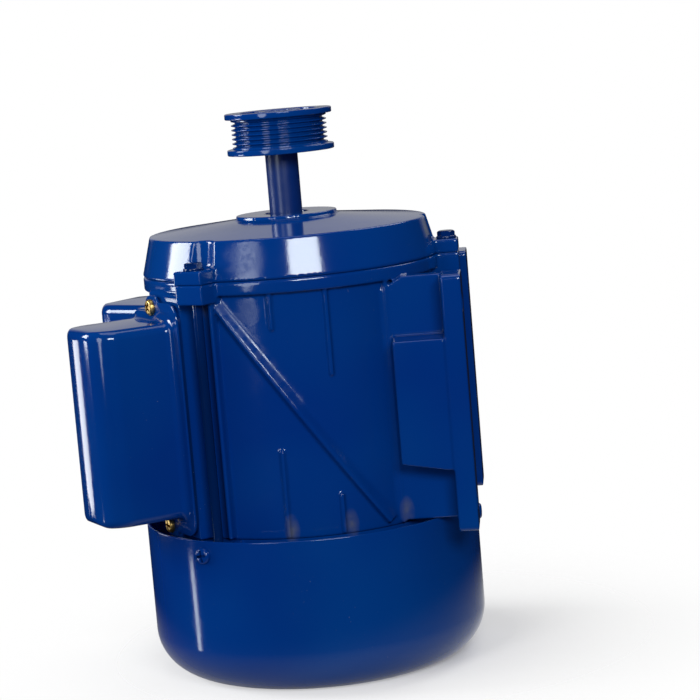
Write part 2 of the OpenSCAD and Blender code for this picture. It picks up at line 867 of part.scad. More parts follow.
// Saddle strap round a can, with a foot on the seat
module clamp(radius, z) {
    translate([0, 0, z - clamp_h / 2]) linear_extrude(clamp_h) difference() {
        union() {
            translate([pad_reach + 2 * clamp_t + radius, 0]) circle(radius + seat_gap + clamp_t);
            translate([pad_reach, -clamp_foot_w / 2]) square([clamp_t + clamp_foot_extra, clamp_foot_w]);
        }
        translate([pad_reach + 2 * clamp_t + radius, 0]) circle(radius + seat_gap);
    }
}

module capacitor_clamps() {
    color(STEEL) {
        for (end = [-1, 1]) at_cover(1) clamp(start_cap_r, mid_z + end * clamp_spread);
        at_cover(-1) clamp(run_cap_r, run_cap_z + run_cap_len / 2);
    }
}

module terminal_block() {
    posts = 3;
    post_d = 5;
    post_depth = 6;
    groove_w = 1;
    groove_in = 3;
    color(PLASTIC) at_cover(-1) translate([pad_reach, -block_w / 2, terminal_z]) difference() {
        cube([block_d, block_w, block_h]);
        for (post = [0:posts - 1])
            translate([block_d - post_depth, (post + 0.5) * block_w / posts, block_h / 2])
                rotate([0, 90, 0]) cylinder(d = post_d, h = post_depth + eps);
        for (post = [1:posts - 1])
            translate([block_d - groove_in, post * block_w / posts - groove_w / 2, -eps])
                cube([groove_in + eps, groove_w, block_h + 2 * eps]);
    }
}

// Cable inlet in the lower end of the run capacitor's cover
module cable_gland() {
    thread_len = cover_t + nut_t + thread_end;
    color(PLASTIC) at_cover(-1) translate([gland_x, 0, gland_wall_z]) difference() {
        union() {
            translate([0, 0, -gland_flange_t])
                cylinder(r = gland_hex_af / sqrt(3), h = gland_flange_t, $fn = 6);
            translate([0, 0, -gland_len]) cylinder(r1 = gland_r - gland_taper, r2 = gland_r, h = gland_len);
            cylinder(r = gland_r, h = thread_len);
        }
        translate([0, 0, -gland_len - gland_flange_t])
            cylinder(r = gland_r - gland_wall, h = gland_len + gland_flange_t + thread_len + eps);
    }
}

module gland_nut() {
    color(PLASTIC) at_cover(-1) translate([gland_x, 0, gland_wall_z + cover_t]) difference() {
        cylinder(r = (gland_hex_af + 1) / sqrt(3), h = nut_t, $fn = 6);
        translate([0, 0, -eps]) cylinder(r = gland_r + seat_gap, h = nut_t + 2 * eps);
    }
}

// Stator

// Half angle that a slot takes up
function slot_half_angle() = 180 / stator_slots * slot_share;

module slot_section(inset) {
    half = slot_half_angle();
    inner = slot_in_r + inset;
    outer = slot_out_r - inset;
    inner_half = inner * sin(half) - inset;
    outer_half = outer * sin(half) - inset;
    polygon([[inner * cos(half), -inner_half], [outer * cos(half), -outer_half],
             [outer * cos(half), outer_half], [inner * cos(half), inner_half]]);
}

module stator_core() {
    color(LAMINATION) translate([0, 0, stack_z]) linear_extrude(stack_len) difference() {
        circle(bore_r - seat_gap);
        circle(stator_bore_r);
        for (slot = [0:stator_slots - 1]) rotate(slot * 360 / stator_slots) {
            slot_section(0);
            translate([stator_bore_r - eps, -slot_mouth_w / 2])
                square([slot_in_r - stator_bore_r + 2 * eps, slot_mouth_w]);
        }
    }
}

// Overhang of the winding with rounded edges, standing on z = 0
module coil_head() {
    inner = slot_in_r + coil_gap;
    width = slot_out_r - slot_in_r + coil_out;
    rotate_extrude() translate([inner + width / 2, overhang / 2]) round_rect(width, overhang, coil_round);
}

module stator_winding() {
    color(COPPER) {
        translate([0, 0, stack_top_z + coil_gap]) coil_head();
        translate([0, 0, stack_z - coil_gap - overhang]) coil_head();
        for (slot = [0:stator_slots - 1]) rotate(slot * 360 / stator_slots)
            translate([0, 0, stack_z - coil_gap - coil_round])
                linear_extrude(stack_len + 2 * (coil_gap + coil_round)) slot_section(coil_gap);
    }
}

// Bearings

module outer_ring(z) {
    color(STEEL) translate([0, 0, z]) rotate_extrude() difference() {
        translate([outer_ring_r, 0]) square([bearing_r - outer_ring_r, bearing_w]);
        translate([ball_pitch_r, bearing_w / 2]) circle(ball_r + run_gap);
    }
}

module inner_ring(z) {
    color(STEEL) translate([0, 0, z]) rotate_extrude() difference() {
        translate([shaft_r + seat_gap, 0]) square([inner_ring_r - shaft_r - seat_gap, bearing_w]);
        translate([ball_pitch_r, bearing_w / 2]) circle(ball_r + run_gap);
    }
}

module ball_set(z) {
    color(STEEL) for (ball = [0:balls - 1]) rotate(ball * 360 / balls)
        translate([ball_pitch_r, 0, z + bearing_w / 2]) sphere(ball_r);
}

module ball_cage(z) {
    cage_half_t = 0.9;
    cage_half_h = 4.4;
    color(ZINC) translate([0, 0, z + bearing_w / 2]) difference() {
        translate([0, 0, -cage_half_h])
            ring(ball_pitch_r + cage_half_t, ball_pitch_r - cage_half_t, 2 * cage_half_h);
        for (ball = [0:balls - 1]) rotate(ball * 360 / balls)
            rotate([0, 90, 0]) cylinder(r = ball_r + run_gap, h = bearing_r);
    }
}

module drive_bearing_outer_ring() { outer_ring(drive_bearing_z); }
module drive_bearing_inner_ring() { inner_ring(drive_bearing_z); }
module drive_bearing_balls() { ball_set(drive_bearing_z); }
module drive_bearing_cage() { ball_cage(drive_bearing_z); }
module fan_bearing_outer_ring() { outer_ring(fan_bearing_z); }
module fan_bearing_inner_ring() { inner_ring(fan_bearing_z); }
module fan_bearing_balls() { ball_set(fan_bearing_z); }
module fan_bearing_cage() { ball_cage(fan_bearing_z); }

// Wave spring that preloads the fan end bearing
module wave_spring() {
    strip_t = 0.5;
    steps = 48;
    waves = 4;
    inner = bearing_r - 3;
    outer = bearing_r - 0.3;
    swing = (spring_h - strip_t) / 2 - 0.05;
    section = [[inner, 0], [outer, 0], [outer, strip_t], [inner, strip_t]];
    corners = len(section);
    points = [for (step = [0:steps - 1], corner = section)
        let (turn = step * 360 / steps, lift = swing * sin(waves * turn))
        [corner[0] * cos(turn), corner[0] * sin(turn), corner[1] + lift]];
    faces = [for (step = [0:steps - 1], side = [0:corners - 1])
        let (next = (step + 1) % steps, after = (side + 1) % corners,
             a = step * corners + side, b = step * corners + after,
             c = next * corners + after, d = next * corners + side)
        each [[a, b, c], [a, c, d]]];
    color(STEEL) translate([0, 0, fan_bearing_z - spring_h / 2 - strip_t / 2]) polyhedron(points, faces);
}

module shaft_seal() {
    seal_h = 3;
    seal_clear = 0.5;
    color(RUBBER) translate([0, 0, drive_bearing_z + bearing_w + seal_clear])
        ring(shaft_hole_r - seat_gap, shaft_r + run_gap, seal_h);
}

// Rotor

module shaft() {
    groove_z = fan_hub_bottom_z - circlip_t;
    shaft_top_z = pulley_top_z - shaft_end_drop;
    color(PAINT) difference() {
        rotate_extrude() polygon([
            [0, shaft_bottom_z], [end_r - shaft_chamfer, shaft_bottom_z],
            [end_r, shaft_bottom_z + shaft_chamfer],
            [end_r, groove_z - seat_gap], [end_r - circlip_depth, groove_z - seat_gap],
            [end_r - circlip_depth, fan_hub_bottom_z], [end_r, fan_hub_bottom_z],
            [end_r, fan_seat_top_z], [shaft_r, fan_seat_top_z],
            [shaft_r, fan_bearing_z + bearing_w], [rotor_seat_r, fan_bearing_z + bearing_w],
            [rotor_seat_r, drive_bearing_z], [shaft_r, drive_bearing_z], [shaft_r, pulley_z],
            [end_r, pulley_z], [end_r, shaft_top_z - shaft_chamfer],
            [end_r - shaft_chamfer, shaft_top_z], [0, shaft_top_z]]);
        translate([end_r - key_depth, -key_w / 2, pulley_z + key_up])
            cube([key_depth + eps, key_w, key_len]);
    }
}

module pulley_key() {
    color(STEEL) translate([end_r - key_depth, -key_w / 2, pulley_z + key_up])
        cube([key_w, key_w, key_len]);
}

module rotor_core() {
    color(LAMINATION) translate([0, 0, stack_z]) linear_extrude(stack_len) difference() {
        circle(rotor_r);
        circle(rotor_seat_r + seat_gap);
        for (bar = [0:rotor_bars - 1]) rotate(bar * 360 / rotor_bars)
            translate([bar_circle_r, 0]) circle(bar_r);
    }
}

module rotor_cage() {
    ring_out_r = bar_circle_r + bar_r + bar_end;
    color(ALUMINIUM) {
        for (bar = [0:rotor_bars - 1]) rotate(bar * 360 / rotor_bars)
            translate([bar_circle_r, 0, stack_z - bar_end])
                cylinder(r = bar_r - seat_gap, h = stack_len + 2 * bar_end);
        translate([0, 0, stack_z - end_ring_h]) ring(ring_out_r, end_ring_in_r, end_ring_h);
        translate([0, 0, stack_top_z]) ring(ring_out_r, end_ring_in_r, end_ring_h);
    }
}

// Cooling fan with straight radial blades that work in both directions
module fan() {
    hub_r = 13;
    disc_t = 2.5;
    blade_t = 2.2;
    blade_in_r = 26;
    blade_drop = 29;
    color(PLASTIC) translate([0, 0, fan_hub_bottom_z]) difference() {
        union() {
            cylinder(r = hub_r, h = fan_hub_h);
            translate([0, 0, fan_hub_h - disc_t]) cylinder(r = fan_r, h = disc_t);
            for (blade = [0:fan_blades - 1]) rotate((blade + 0.5) * 360 / fan_blades)
                translate([blade_in_r, -blade_t / 2, fan_hub_h - blade_drop])
                    cube([fan_r - blade_in_r - 2, blade_t, blade_drop - eps]);
        }
        translate([0, 0, -eps]) cylinder(r = end_r + seat_gap, h = fan_hub_h + 2 * eps);
    }
}

// Open retaining ring in the groove under the fan's hub
module fan_circlip() {
    color(STEEL) translate([0, 0, fan_hub_bottom_z - circlip_t]) linear_extrude(circlip_t) difference() {
        circle(end_r + 2.5);
        circle(end_r - circlip_depth + seat_gap);
        translate([0, -2.5]) square([end_r + 3, 5]);
    }
}

// Turned pulley with a ribbed belt seat between two flanges
module pulley() {
    seat_bottom = pulley_flange_t;
    seat_top = pulley_h - pulley_flange_t;
    first_groove = pulley_h / 2 - (belt_grooves - 1) / 2 * groove_pitch;
    half_mouth = (groove_pitch - groove_floor) / 2;
    color(PAINT) translate([0, 0, pulley_z]) difference() {
        rotate_extrude() difference() {
            translate([end_r + seat_gap, 0]) square([pulley_r - end_r - seat_gap, pulley_h]);
            translate([belt_seat_r, seat_bottom]) square([pulley_r, seat_top - seat_bottom]);
            for (groove = [0:belt_grooves - 1]) translate([belt_seat_r, first_groove + groove * groove_pitch])
                polygon([[-groove_depth, -groove_floor / 2], [eps, -half_mouth - eps / 2],
                         [eps, half_mouth + eps / 2], [-groove_depth, groove_floor / 2]]);
            for (z = [-eps, pulley_h - pulley_recess]) translate([pulley_recess_in_r, z])
                square([pulley_recess_out_r - pulley_recess_in_r, pulley_recess + eps]);
        }
        translate([0, -key_w / 2 - seat_gap, -eps])
            cube([end_r + key_w - key_depth + key_top_gap, key_w + 2 * seat_gap, pulley_h + 2 * eps]);
        translate([0, 0, pulley_h / 2]) rotate([-90, 0, 0])
            cylinder(r = set_screw_r + seat_gap, h = pulley_r + eps);
    }
}

// Socket screw that holds the pulley on the shaft
module pulley_set_screw() {
    screw_len = 12;
    socket_r = 1.4;
    socket_depth = 2.5;
    color(STEEL) translate([0, end_r + seat_gap, pulley_z + pulley_h / 2]) rotate([-90, 0, 0]) difference() {
        cylinder(r = set_screw_r, h = screw_len);
        translate([0, 0, screw_len - socket_depth]) cylinder(r = socket_r, h = socket_depth + eps, $fn = 6);
    }
}

// Start switch

// The governor's hub with two forks that carry the weights on pins
module governor_hub() {
    fork_half_w = weight_half_w + arm_gap + arm_t;
    color(STEEL) difference() {
        union() {
            translate([0, 0, governor_hub_z]) cylinder(r = governor_hub_r, h = governor_hub_h);
            for (turn = [0, 180]) rotate(turn) {
                translate([0, -fork_half_w, governor_hub_z])
                    cube([pivot_r + arm_half_r, 2 * fork_half_w, governor_hub_h]);
                for (side = [-1, 1]) translate([pivot_r - arm_half_r,
                        side * (weight_half_w + arm_gap + arm_t / 2) - arm_t / 2, pivot_z - arm_drop])
                    cube([2 * arm_half_r, arm_t, governor_hub_z - pivot_z + arm_drop + eps]);
                translate([pivot_r, fork_half_w, pivot_z]) rotate([90, 0, 0])
                    cylinder(r = pivot_pin_r, h = 2 * fork_half_w);
            }
        }
        translate([0, 0, governor_hub_z - eps])
            cylinder(r = rotor_seat_r + seat_gap, h = governor_hub_h + 2 * eps);
        for (turn = [0, 180]) rotate(turn)
            translate([governor_hub_r + 1, -weight_half_w - arm_gap, governor_hub_z - eps])
                cube([pivot_r, 2 * (weight_half_w + arm_gap), governor_hub_h + 2 * eps]);
    }
}

// A fly weight with the finger that lifts the collar
module governor_weight(turn) {
    color(ZINC) rotate(turn) difference() {
        union() {
            translate([pivot_r - weight_half_r, -weight_half_w, pivot_z - weight_below])
                cube([2 * weight_half_r, 2 * weight_half_w, weight_below + weight_above]);
            translate([finger_in_r, -weight_half_w, pivot_z])
                cube([pivot_r - weight_half_r - finger_in_r + eps, 2 * weight_half_w, finger_h]);
        }
        translate([pivot_r, weight_half_w + eps, pivot_z]) rotate([90, 0, 0])
            cylinder(r = pivot_pin_r + run_gap, h = 2 * weight_half_w + 2 * eps);
    }
}

module governor_weight_a() { governor_weight(0); }
module governor_weight_b() { governor_weight(180); }

module governor_collar() {
    collar_h = collar_below + collar_groove_h + collar_above;
    color(PLASTIC) translate([0, 0, collar_z]) rotate_extrude() difference() {
        translate([rotor_seat_r + run_gap, 0]) square([collar_r - rotor_seat_r - run_gap, collar_h]);
        translate([groove_in_r, collar_below]) square([collar_r, collar_groove_h]);
    }
}

// Contact board screwed to the inside of the fan end shield
module switch_board() {
    color(PLASTIC) translate([0, 0, housing_z]) {
        rotate([0, 0, board_start]) rotate_extrude(angle = board_angle)
            translate([board_in_r, 0]) square([board_out_r - board_in_r, board_t]);
        for (turn = contact_turns) rotate(turn)
            translate([board_in_r + contact_w, -contact_w / 2, board_t - contact_joint])
                cube([contact_w, contact_w, contact_h]);
    }
}

housing();
drive_end_shield();
fan_end_shield();
fan_cover();
through_bolts();
fan_cover_screws();
start_capacitor_cover();
run_capacitor_cover();
start_cover_gasket();
run_cover_gasket();
capacitor_cover_screws();
start_capacitor();
run_capacitor();
capacitor_clamps();
terminal_block();
cable_gland();
gland_nut();
stator_core();
stator_winding();
drive_bearing_outer_ring();
fan_bearing_outer_ring();
wave_spring();
shaft_seal();
switch_board();
shaft();
rotor_core();
rotor_cage();
fan();
fan_circlip();
pulley();
pulley_key();
pulley_set_screw();
drive_bearing_inner_ring();
fan_bearing_inner_ring();
governor_hub();
drive_bearing_balls();
drive_bearing_cage();
fan_bearing_balls();
fan_bearing_cage();
governor_collar();
governor_weight_a();
governor_weight_b();
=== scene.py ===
"""Looks of a foot-mounted induction motor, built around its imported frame. Lengths are in metres."""

import json
import math

import bmesh
import bpy
from mathutils import Matrix, Vector


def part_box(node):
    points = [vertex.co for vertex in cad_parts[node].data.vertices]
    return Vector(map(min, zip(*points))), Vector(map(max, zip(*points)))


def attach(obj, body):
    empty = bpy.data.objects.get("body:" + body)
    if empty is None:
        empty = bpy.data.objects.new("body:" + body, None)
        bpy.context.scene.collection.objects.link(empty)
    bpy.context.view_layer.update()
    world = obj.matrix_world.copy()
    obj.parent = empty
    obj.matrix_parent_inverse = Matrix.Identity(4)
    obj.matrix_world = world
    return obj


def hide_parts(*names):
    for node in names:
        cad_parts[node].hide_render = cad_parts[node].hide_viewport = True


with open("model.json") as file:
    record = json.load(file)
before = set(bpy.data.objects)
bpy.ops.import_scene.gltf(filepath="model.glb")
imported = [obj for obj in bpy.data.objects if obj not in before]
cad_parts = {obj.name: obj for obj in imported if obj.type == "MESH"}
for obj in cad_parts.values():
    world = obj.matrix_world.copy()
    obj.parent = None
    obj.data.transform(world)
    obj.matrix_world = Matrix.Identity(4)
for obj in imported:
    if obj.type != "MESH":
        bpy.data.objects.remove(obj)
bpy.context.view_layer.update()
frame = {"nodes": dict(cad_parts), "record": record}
nodes = frame["nodes"]

MM = 0.001

# Levels along the shaft, from the frame
PARTING_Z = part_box("housing")[1].z
BOSS_TOP_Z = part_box("drive_end_shield")[1].z
PULLEY_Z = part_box("pulley")[0].z
PULLEY_TOP_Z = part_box("pulley")[1].z
FAN_COVER_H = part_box("fan_cover")[1].z
COVER_LAP = 1.5 * MM
HOUSING_Z = FAN_COVER_H - COVER_LAP
COVER_SCREW_Z = (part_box("fan_cover_screws")[0].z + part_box("fan_cover_screws")[1].z) / 2
COVER_MID_Z = (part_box("start_capacitor_cover")[0].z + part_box("start_capacitor_cover")[1].z) / 2

# Housing
BARREL_R = 74 * MM
BORE_R = 69 * MM
BAND_R = 77.2 * MM
BAND_H = 7 * MM
BAND_CHAMFER = 0.8 * MM
HOUSING_VOXEL = 0.65 * MM
HOUSING_KEEP = 0.35

# Diagonal rib, and the slope above it as (offset from the rib, rise over the barrel) in millimetres
DIAGONAL_START = (-42 * MM, PARTING_Z - BAND_H - 2.5 * MM)
DIAGONAL_END = (39.5 * MM, HOUSING_Z + 3 * MM)
DIAGONAL_FLANK = ((0, -1), (7, -1), (6, -0.3), (4, 0.5), (0.7, 3.2))
DIAGONAL_TURN = 6
DIAGONAL_STEPS = 24

# Drive end shield
SKIRT_H = 20 * MM
SKIRT_TOP_R = 72.2 * MM
CROWN_RISE = 4.7 * MM
BOSS_R = 26.2 * MM
SHAFT_HOLE_R = 11 * MM
BEARING_R = 20 * MM
BEARING_W = 12 * MM
LIP_T = 6 * MM
SHIELD_WALL = 5 * MM
SPIGOT_H = 5 * MM
SPIGOT_T = 4 * MM
SPIGOT_RISE = 4 * MM
SHIELD_VOXEL = 0.7 * MM
SHIELD_KEEP = 0.4
CAST_PASSES = 3

# Through bolts
BOLT_CIRCLE_R = 82 * MM
BOLT_R = 2.5 * MM
EAR_W = 16.5 * MM
EAR_REACH = 88 * MM
EAR_ROOT = 3 * MM
EAR_H = 7 * MM
HEAD_POCKET_R = 10 * MM
HEAD_POCKET_TOP_R = 12 * MM
HEAD_AF = 8 * MM
HEAD_H = 4 * MM
HEAD_ROUND = 2 * MM
HEAD_FACE_SHARE = 0.85
HEAD_COLLAR_R = 5.2 * MM
HEAD_COLLAR_H = 1.2 * MM
HEAD_COLLAR_RISE = 0.3 * MM
HEAD_COLLAR_FOOT = 0.2 * MM
HEAD_COLLAR_ROUND = 0.5 * MM
BOLT_TURNS = (0, 120, 240)

# Fan cover
FAN_COVER_R = 87.4 * MM
FAN_COVER_CORNER = 24 * MM
FAN_COVER_RIM = 0.5 * MM
FAN_COVER_STEPS = 20
SHEET_T = 1.2 * MM
AIR_SLOTS = 20
AIR_SLOT_W = 4 * MM
AIR_SLOT_IN = 15 * MM
AIR_SLOT_OUT = 58.4 * MM
AIR_SLOT_ROUND_SHARE = 0.95
COVER_SCREW_OFFSET = 4

# Small screws
SCREW_R = 2 * MM
SCREW_HEAD_R = 4.2 * MM
SCREW_HEAD_H = 2.6 * MM
SCREW_HEAD_SIDE_H = SCREW_HEAD_H * 0.9
SCREW_HEAD_FOOT = 0.25 * MM
SCREW_HEAD_ROUND = 1.5 * MM
SCREW_HEAD_STEPS = 6
CROSS_HALF_L = SCREW_HEAD_R * 0.72
CROSS_HALF_W = 0.65 * MM
CROSS_FLOOR = SCREW_HEAD_H * 0.35
FAN_COVER_SCREW_LEN = 8 * MM
FAN_COVER_SCREW_TWIST = 20
CAPACITOR_COVER_SCREW_LEN = 6 * MM
CAPACITOR_COVER_SCREW_TWIST = 25
CAPACITOR_COVER_SCREW_SPREAD = 30

# Capacitor covers
COVER_ANGLE = 32
FLANGE_X = 79.5 * MM
COVER_H = 45 * MM
COVER_HALF_W = 23 * MM
COVER_HALF_L = 50 * MM
COVER_EDGE = 5 * MM
COVER_FLARE = 4 * MM
COVER_FLARE_STEPS = 6
COVER_SIDE_STEPS = 12
COVER_DOME_STEPS = 8
COVER_DOME_TURN = math.radians(12)
COVER_DOME_HALF_W = 11.5 * MM
COVER_ROOT_Z = 0.5 * SHEET_T
COVER_FOOT_Z = 0.97 * SHEET_T
COVER_LEAST_CORNER = 0.4 * MM
COVER_CORNER_SHARE = 0.9
COVER_SCREW_HALF_SPAN = 56.5 * MM
FLANGE_HALF_W = 30 * MM
FLANGE_HALF_L = 59.5 * MM
FLANGE_IN_W = 27.5 * MM
FLANGE_IN_L = 54 * MM
FLANGE_CORNER = 9 * MM
FLANGE_EDGE = 0.4 * MM
FLANGE_EAR_W = 8.5 * MM
FLANGE_EAR_L = 62.5 * MM
FLANGE_EAR_ROOT = 1 * MM
FLANGE_EAR_CORNER = 7 * MM
FLANGE_EAR_OUT_W = 5.5 * MM
FLANGE_EAR_OUT_CORNER = 2.4 * MM
FLANGE_STEP_W = 7.5 * MM
FLANGE_STEP_CORNER = 0.5 * MM
PRESSED_STEPS = 8

# Shaft and pulley
SHAFT_R = 8.5 * MM
SHAFT_END_R = 7 * MM
PULLEY_R = 27.8 * MM
PULLEY_FLANGE_T = 3 * MM
PULLEY_EDGE = 0.5 * MM
PULLEY_BORE_EDGE = 0.3 * MM
PULLEY_STEPS = 4
BELT_SEAT_R = 24.8 * MM
GROOVES = 6
GROOVE_PITCH = 2.34 * MM
GROOVE_DEPTH = 2 * MM
GROOVE_TIP = 0.25 * MM
GROOVE_EDGE = 0.2 * MM
RECESS_IN_R = 12 * MM
RECESS_OUT_R = 20 * MM
RECESS_D = 5 * MM
RECESS_ROUND = 1 * MM

# Facets of the round pieces
CASTING_SEGMENTS = 360
FAN_COVER_SEGMENTS = 240
PULLEY_SEGMENTS = 128
SHAFT_SEGMENTS = 96
FLOOR_SEGMENTS = 96
POCKET_SEGMENTS = 64
BOLT_HEAD_SEGMENTS = 48
SCREW_HEAD_SEGMENTS = 40
BOLT_SEGMENTS = 32
SET_SCREW_SEGMENTS = 32
SCREW_SEGMENTS = 24
SMOOTH_ANGLE = math.radians(32)

# Gaps below which points count as one
AXIS_GAP = 1e-7
WELD_GAP = 1e-6


# Mesh helpers


def add_object(name, data):
    obj = bpy.data.objects.new(name, data)
    bpy.context.scene.collection.objects.link(obj)
    return obj


def object_from(name, bm):
    """A new object from a bmesh, with its normals pointing outwards."""
    bmesh.ops.recalc_face_normals(bm, faces=bm.faces)
    mesh = bpy.data.meshes.new(name)
    bm.to_mesh(mesh)
    bm.free()
    return add_object(name, mesh)


def shade(obj):
    obj.data.shade_smooth()
    obj.data.set_sharp_from_angle(angle=SMOOTH_ANGLE)
    return obj


def apply_modifiers(obj):
    graph = bpy.context.evaluated_depsgraph_get()
    mesh = bpy.data.meshes.new_from_object(obj.evaluated_get(graph))
    obj.modifiers.clear()
    obj.data = mesh
    return obj


def carve(obj, cutter, operation="DIFFERENCE"):
    """Cuts, joins or intersects obj with another solid, which is used up."""
    boolean = obj.modifiers.new("carve", "BOOLEAN")
    boolean.object = cutter
    boolean.operation = operation
    boolean.solver = "EXACT"
    apply_modifiers(obj)
    bpy.data.objects.remove(cutter)
    return obj


def join(name, parts):
    """One object from several, with every part's place kept."""
    bm = bmesh.new()
    for part in parts:
        mesh = part.data.copy()
        mesh.transform(part.matrix_world)
        bm.from_mesh(mesh)
        bpy.data.meshes.remove(mesh)
        bpy.data.objects.remove(part)
    mesh = bpy.data.meshes.new(name)
    bm.to_mesh(mesh)
    bm.free()
    return add_object(name, mesh)


def placed(obj, matrix):
    obj.data.transform(matrix)
    return obj


def mirrored(obj):
    """The same piece for the other side of the motor."""
    placed(obj, Matrix.Scale(-1, 4, (0, 1, 0)))
    obj.data.flip_normals()
    return obj


def turned(degrees, axis="Z"):
    return Matrix.Rotation(math.radians(degrees), 4, axis)


def at_bolt(degrees):
    return turned(degrees) @ Matrix.Translation((BOLT_CIRCLE_R, 0, 0))


def at_cover(side, reach, height):
    return turned(180 + side * COVER_ANGLE) @ Matrix.Translation((reach, 0, height))


def rounded(corners, steps=5):
    """Points of a closed outline whose corners (x, y, radius) are rounded by arcs."""
    points = []
    count = len(corners)
    for index, (x, y, radius) in enumerate(corners):
        here = Vector((x, y))
        if radius == 0:
            points.append(here)
            continue
        back = (Vector(corners[index - 1][:2]) - here).normalized()
        ahead = (Vector(corners[(index + 1) % count][:2]) - here).normalized()
        half = back.angle(ahead) / 2
        centre = here + (back + ahead).normalized() * (radius / math.sin(half))
        start = here + back * (radius / math.tan(half)) - centre
        end = here + ahead * (radius / math.tan(half)) - centre
        sweep = start.angle(end)
        for step in range(steps + 1):
            share = step / steps
            mixed = start * math.sin((1 - share) * sweep) + end * math.sin(share * sweep)
            points.append(centre + mixed / math.sin(sweep))
    return points


def ring_profile(inner, outer, low, high):
    return [(inner, low), (outer, low), (outer, high), (inner, high)]


def revolve(name, profile, segments):
    """A solid of revolution about Z from a closed outline of (radius, height)."""
    bm = bmesh.new()
    rings = []
    for radius, height in profile:
        if radius < AXIS_GAP:
            rings.append([bm.verts.new((0, 0, height))])
            continue
        ring = []
        for index in range(segments):
            turn = 2 * math.pi * index / segments
            ring.append(bm.verts.new((radius * math.cos(turn), radius * math.sin(turn), height)))
        rings.append(ring)
    for low, high in zip(rings, rings[1:] + rings[:1]):
        for index in range(segments):
            after = (index + 1) % segments
            corners = [low[index % len(low)], low[after % len(low)],
                       high[after % len(high)], high[index % len(high)]]
            corners = list(dict.fromkeys(corners))
            if len(corners) > 2:
                bm.faces.new(corners)
    return object_from(name, bm)


def loft(name, outlines):
    """A solid through a row of closed outlines with the same number of points."""
    bm = bmesh.new()
    rings = [[bm.verts.new(point) for point in outline] for outline in outlines]
    for here, beyond in zip(rings, rings[1:]):
        for index in range(len(here)):
            after = (index + 1) % len(here)
            bm.faces.new((here[index], here[after], beyond[after], beyond[index]))
    bm.faces.new(rings[0])
    bm.faces.new(rings[-1])
    return object_from(name, bm)


def prism(name, outline, low, high):
    """A straight solid over a flat outline, from height low to height high."""
    bm = bmesh.new()
    bottom = [bm.verts.new((x, y, low)) for x, y in outline]
    top = [bm.verts.new((x, y, high)) for x, y in outline]
    bm.faces.new(bottom)
    bm.faces.new(top)
    for index in range(len(outline)):
        after = (index + 1) % len(outline)
        bm.faces.new((bottom[index], bottom[after], top[after], top[index]))
    return object_from(name, bm)


def block(name, low, high):
    outline = [(low[0], low[1]), (high[0], low[1]), (high[0], high[1]), (low[0], high[1])]
    return prism(name, outline, low[2], high[2])


def cast(obj, voxel, keep):
    """Melts overlapping solids into one casting whose corners are softly rounded."""
    melt = obj.modifiers.new("melt", "REMESH")
    melt.mode = "VOXEL"
    melt.voxel_size = voxel
    soften = obj.modifiers.new("soften", "SMOOTH")
    soften.factor = 0.5
    soften.iterations = CAST_PASSES
    thin = obj.modifiers.new("thin", "DECIMATE")
    thin.ratio = keep
    apply_modifiers(obj)
    obj.data.shade_smooth()
    return obj


def coat(obj, material):
    obj.data.materials.clear()
    obj.data.materials.append(material)


def finish_piece(obj, body, slot, material, *replaced):
    """Gives a piece its material and its place in the frame."""
    coat(obj, material)
    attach(obj, body)
    if replaced:
        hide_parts(*replaced)
    return obj


# Materials


class Tree:
    """Short calls for building a node tree."""

    def __init__(self, tree, coordinates):
        self.tree = tree
        self.place = self.add("ShaderNodeTexCoord").outputs[coordinates]

    def add(self, kind, **settings):
        node = self.tree.nodes.new(kind)
        for key, value in settings.items():
            setattr(node, key, value)
        return node

    def link(self, source, target):
        self.tree.links.new(source, target)

    def feed(self, socket, value):
        """Links an input to another node, or sets it to a number or a colour."""
        if isinstance(value, bpy.types.NodeSocket):
            self.link(value, socket)
        else:
            socket.default_value = (*value, 1) if isinstance(value, tuple) else value

    def ramp(self, source, low, high, start=0.0, end=1.0):
        """Maps the range low to high of a value onto start to end."""
        node = self.add("ShaderNodeMapRange")
        self.link(source, node.inputs["Value"])
        node.inputs["From Min"].default_value = low
        node.inputs["From Max"].default_value = high
        node.inputs["To Min"].default_value = start
        node.inputs["To Max"].default_value = end
        return node.outputs["Result"]

    def math(self, operation, first, second):
        node = self.add("ShaderNodeMath", operation=operation)
        self.feed(node.inputs[0], first)
        self.feed(node.inputs[1], second)
        return node.outputs[0]

    def times(self, first, second):
        return self.math("MULTIPLY", first, second)


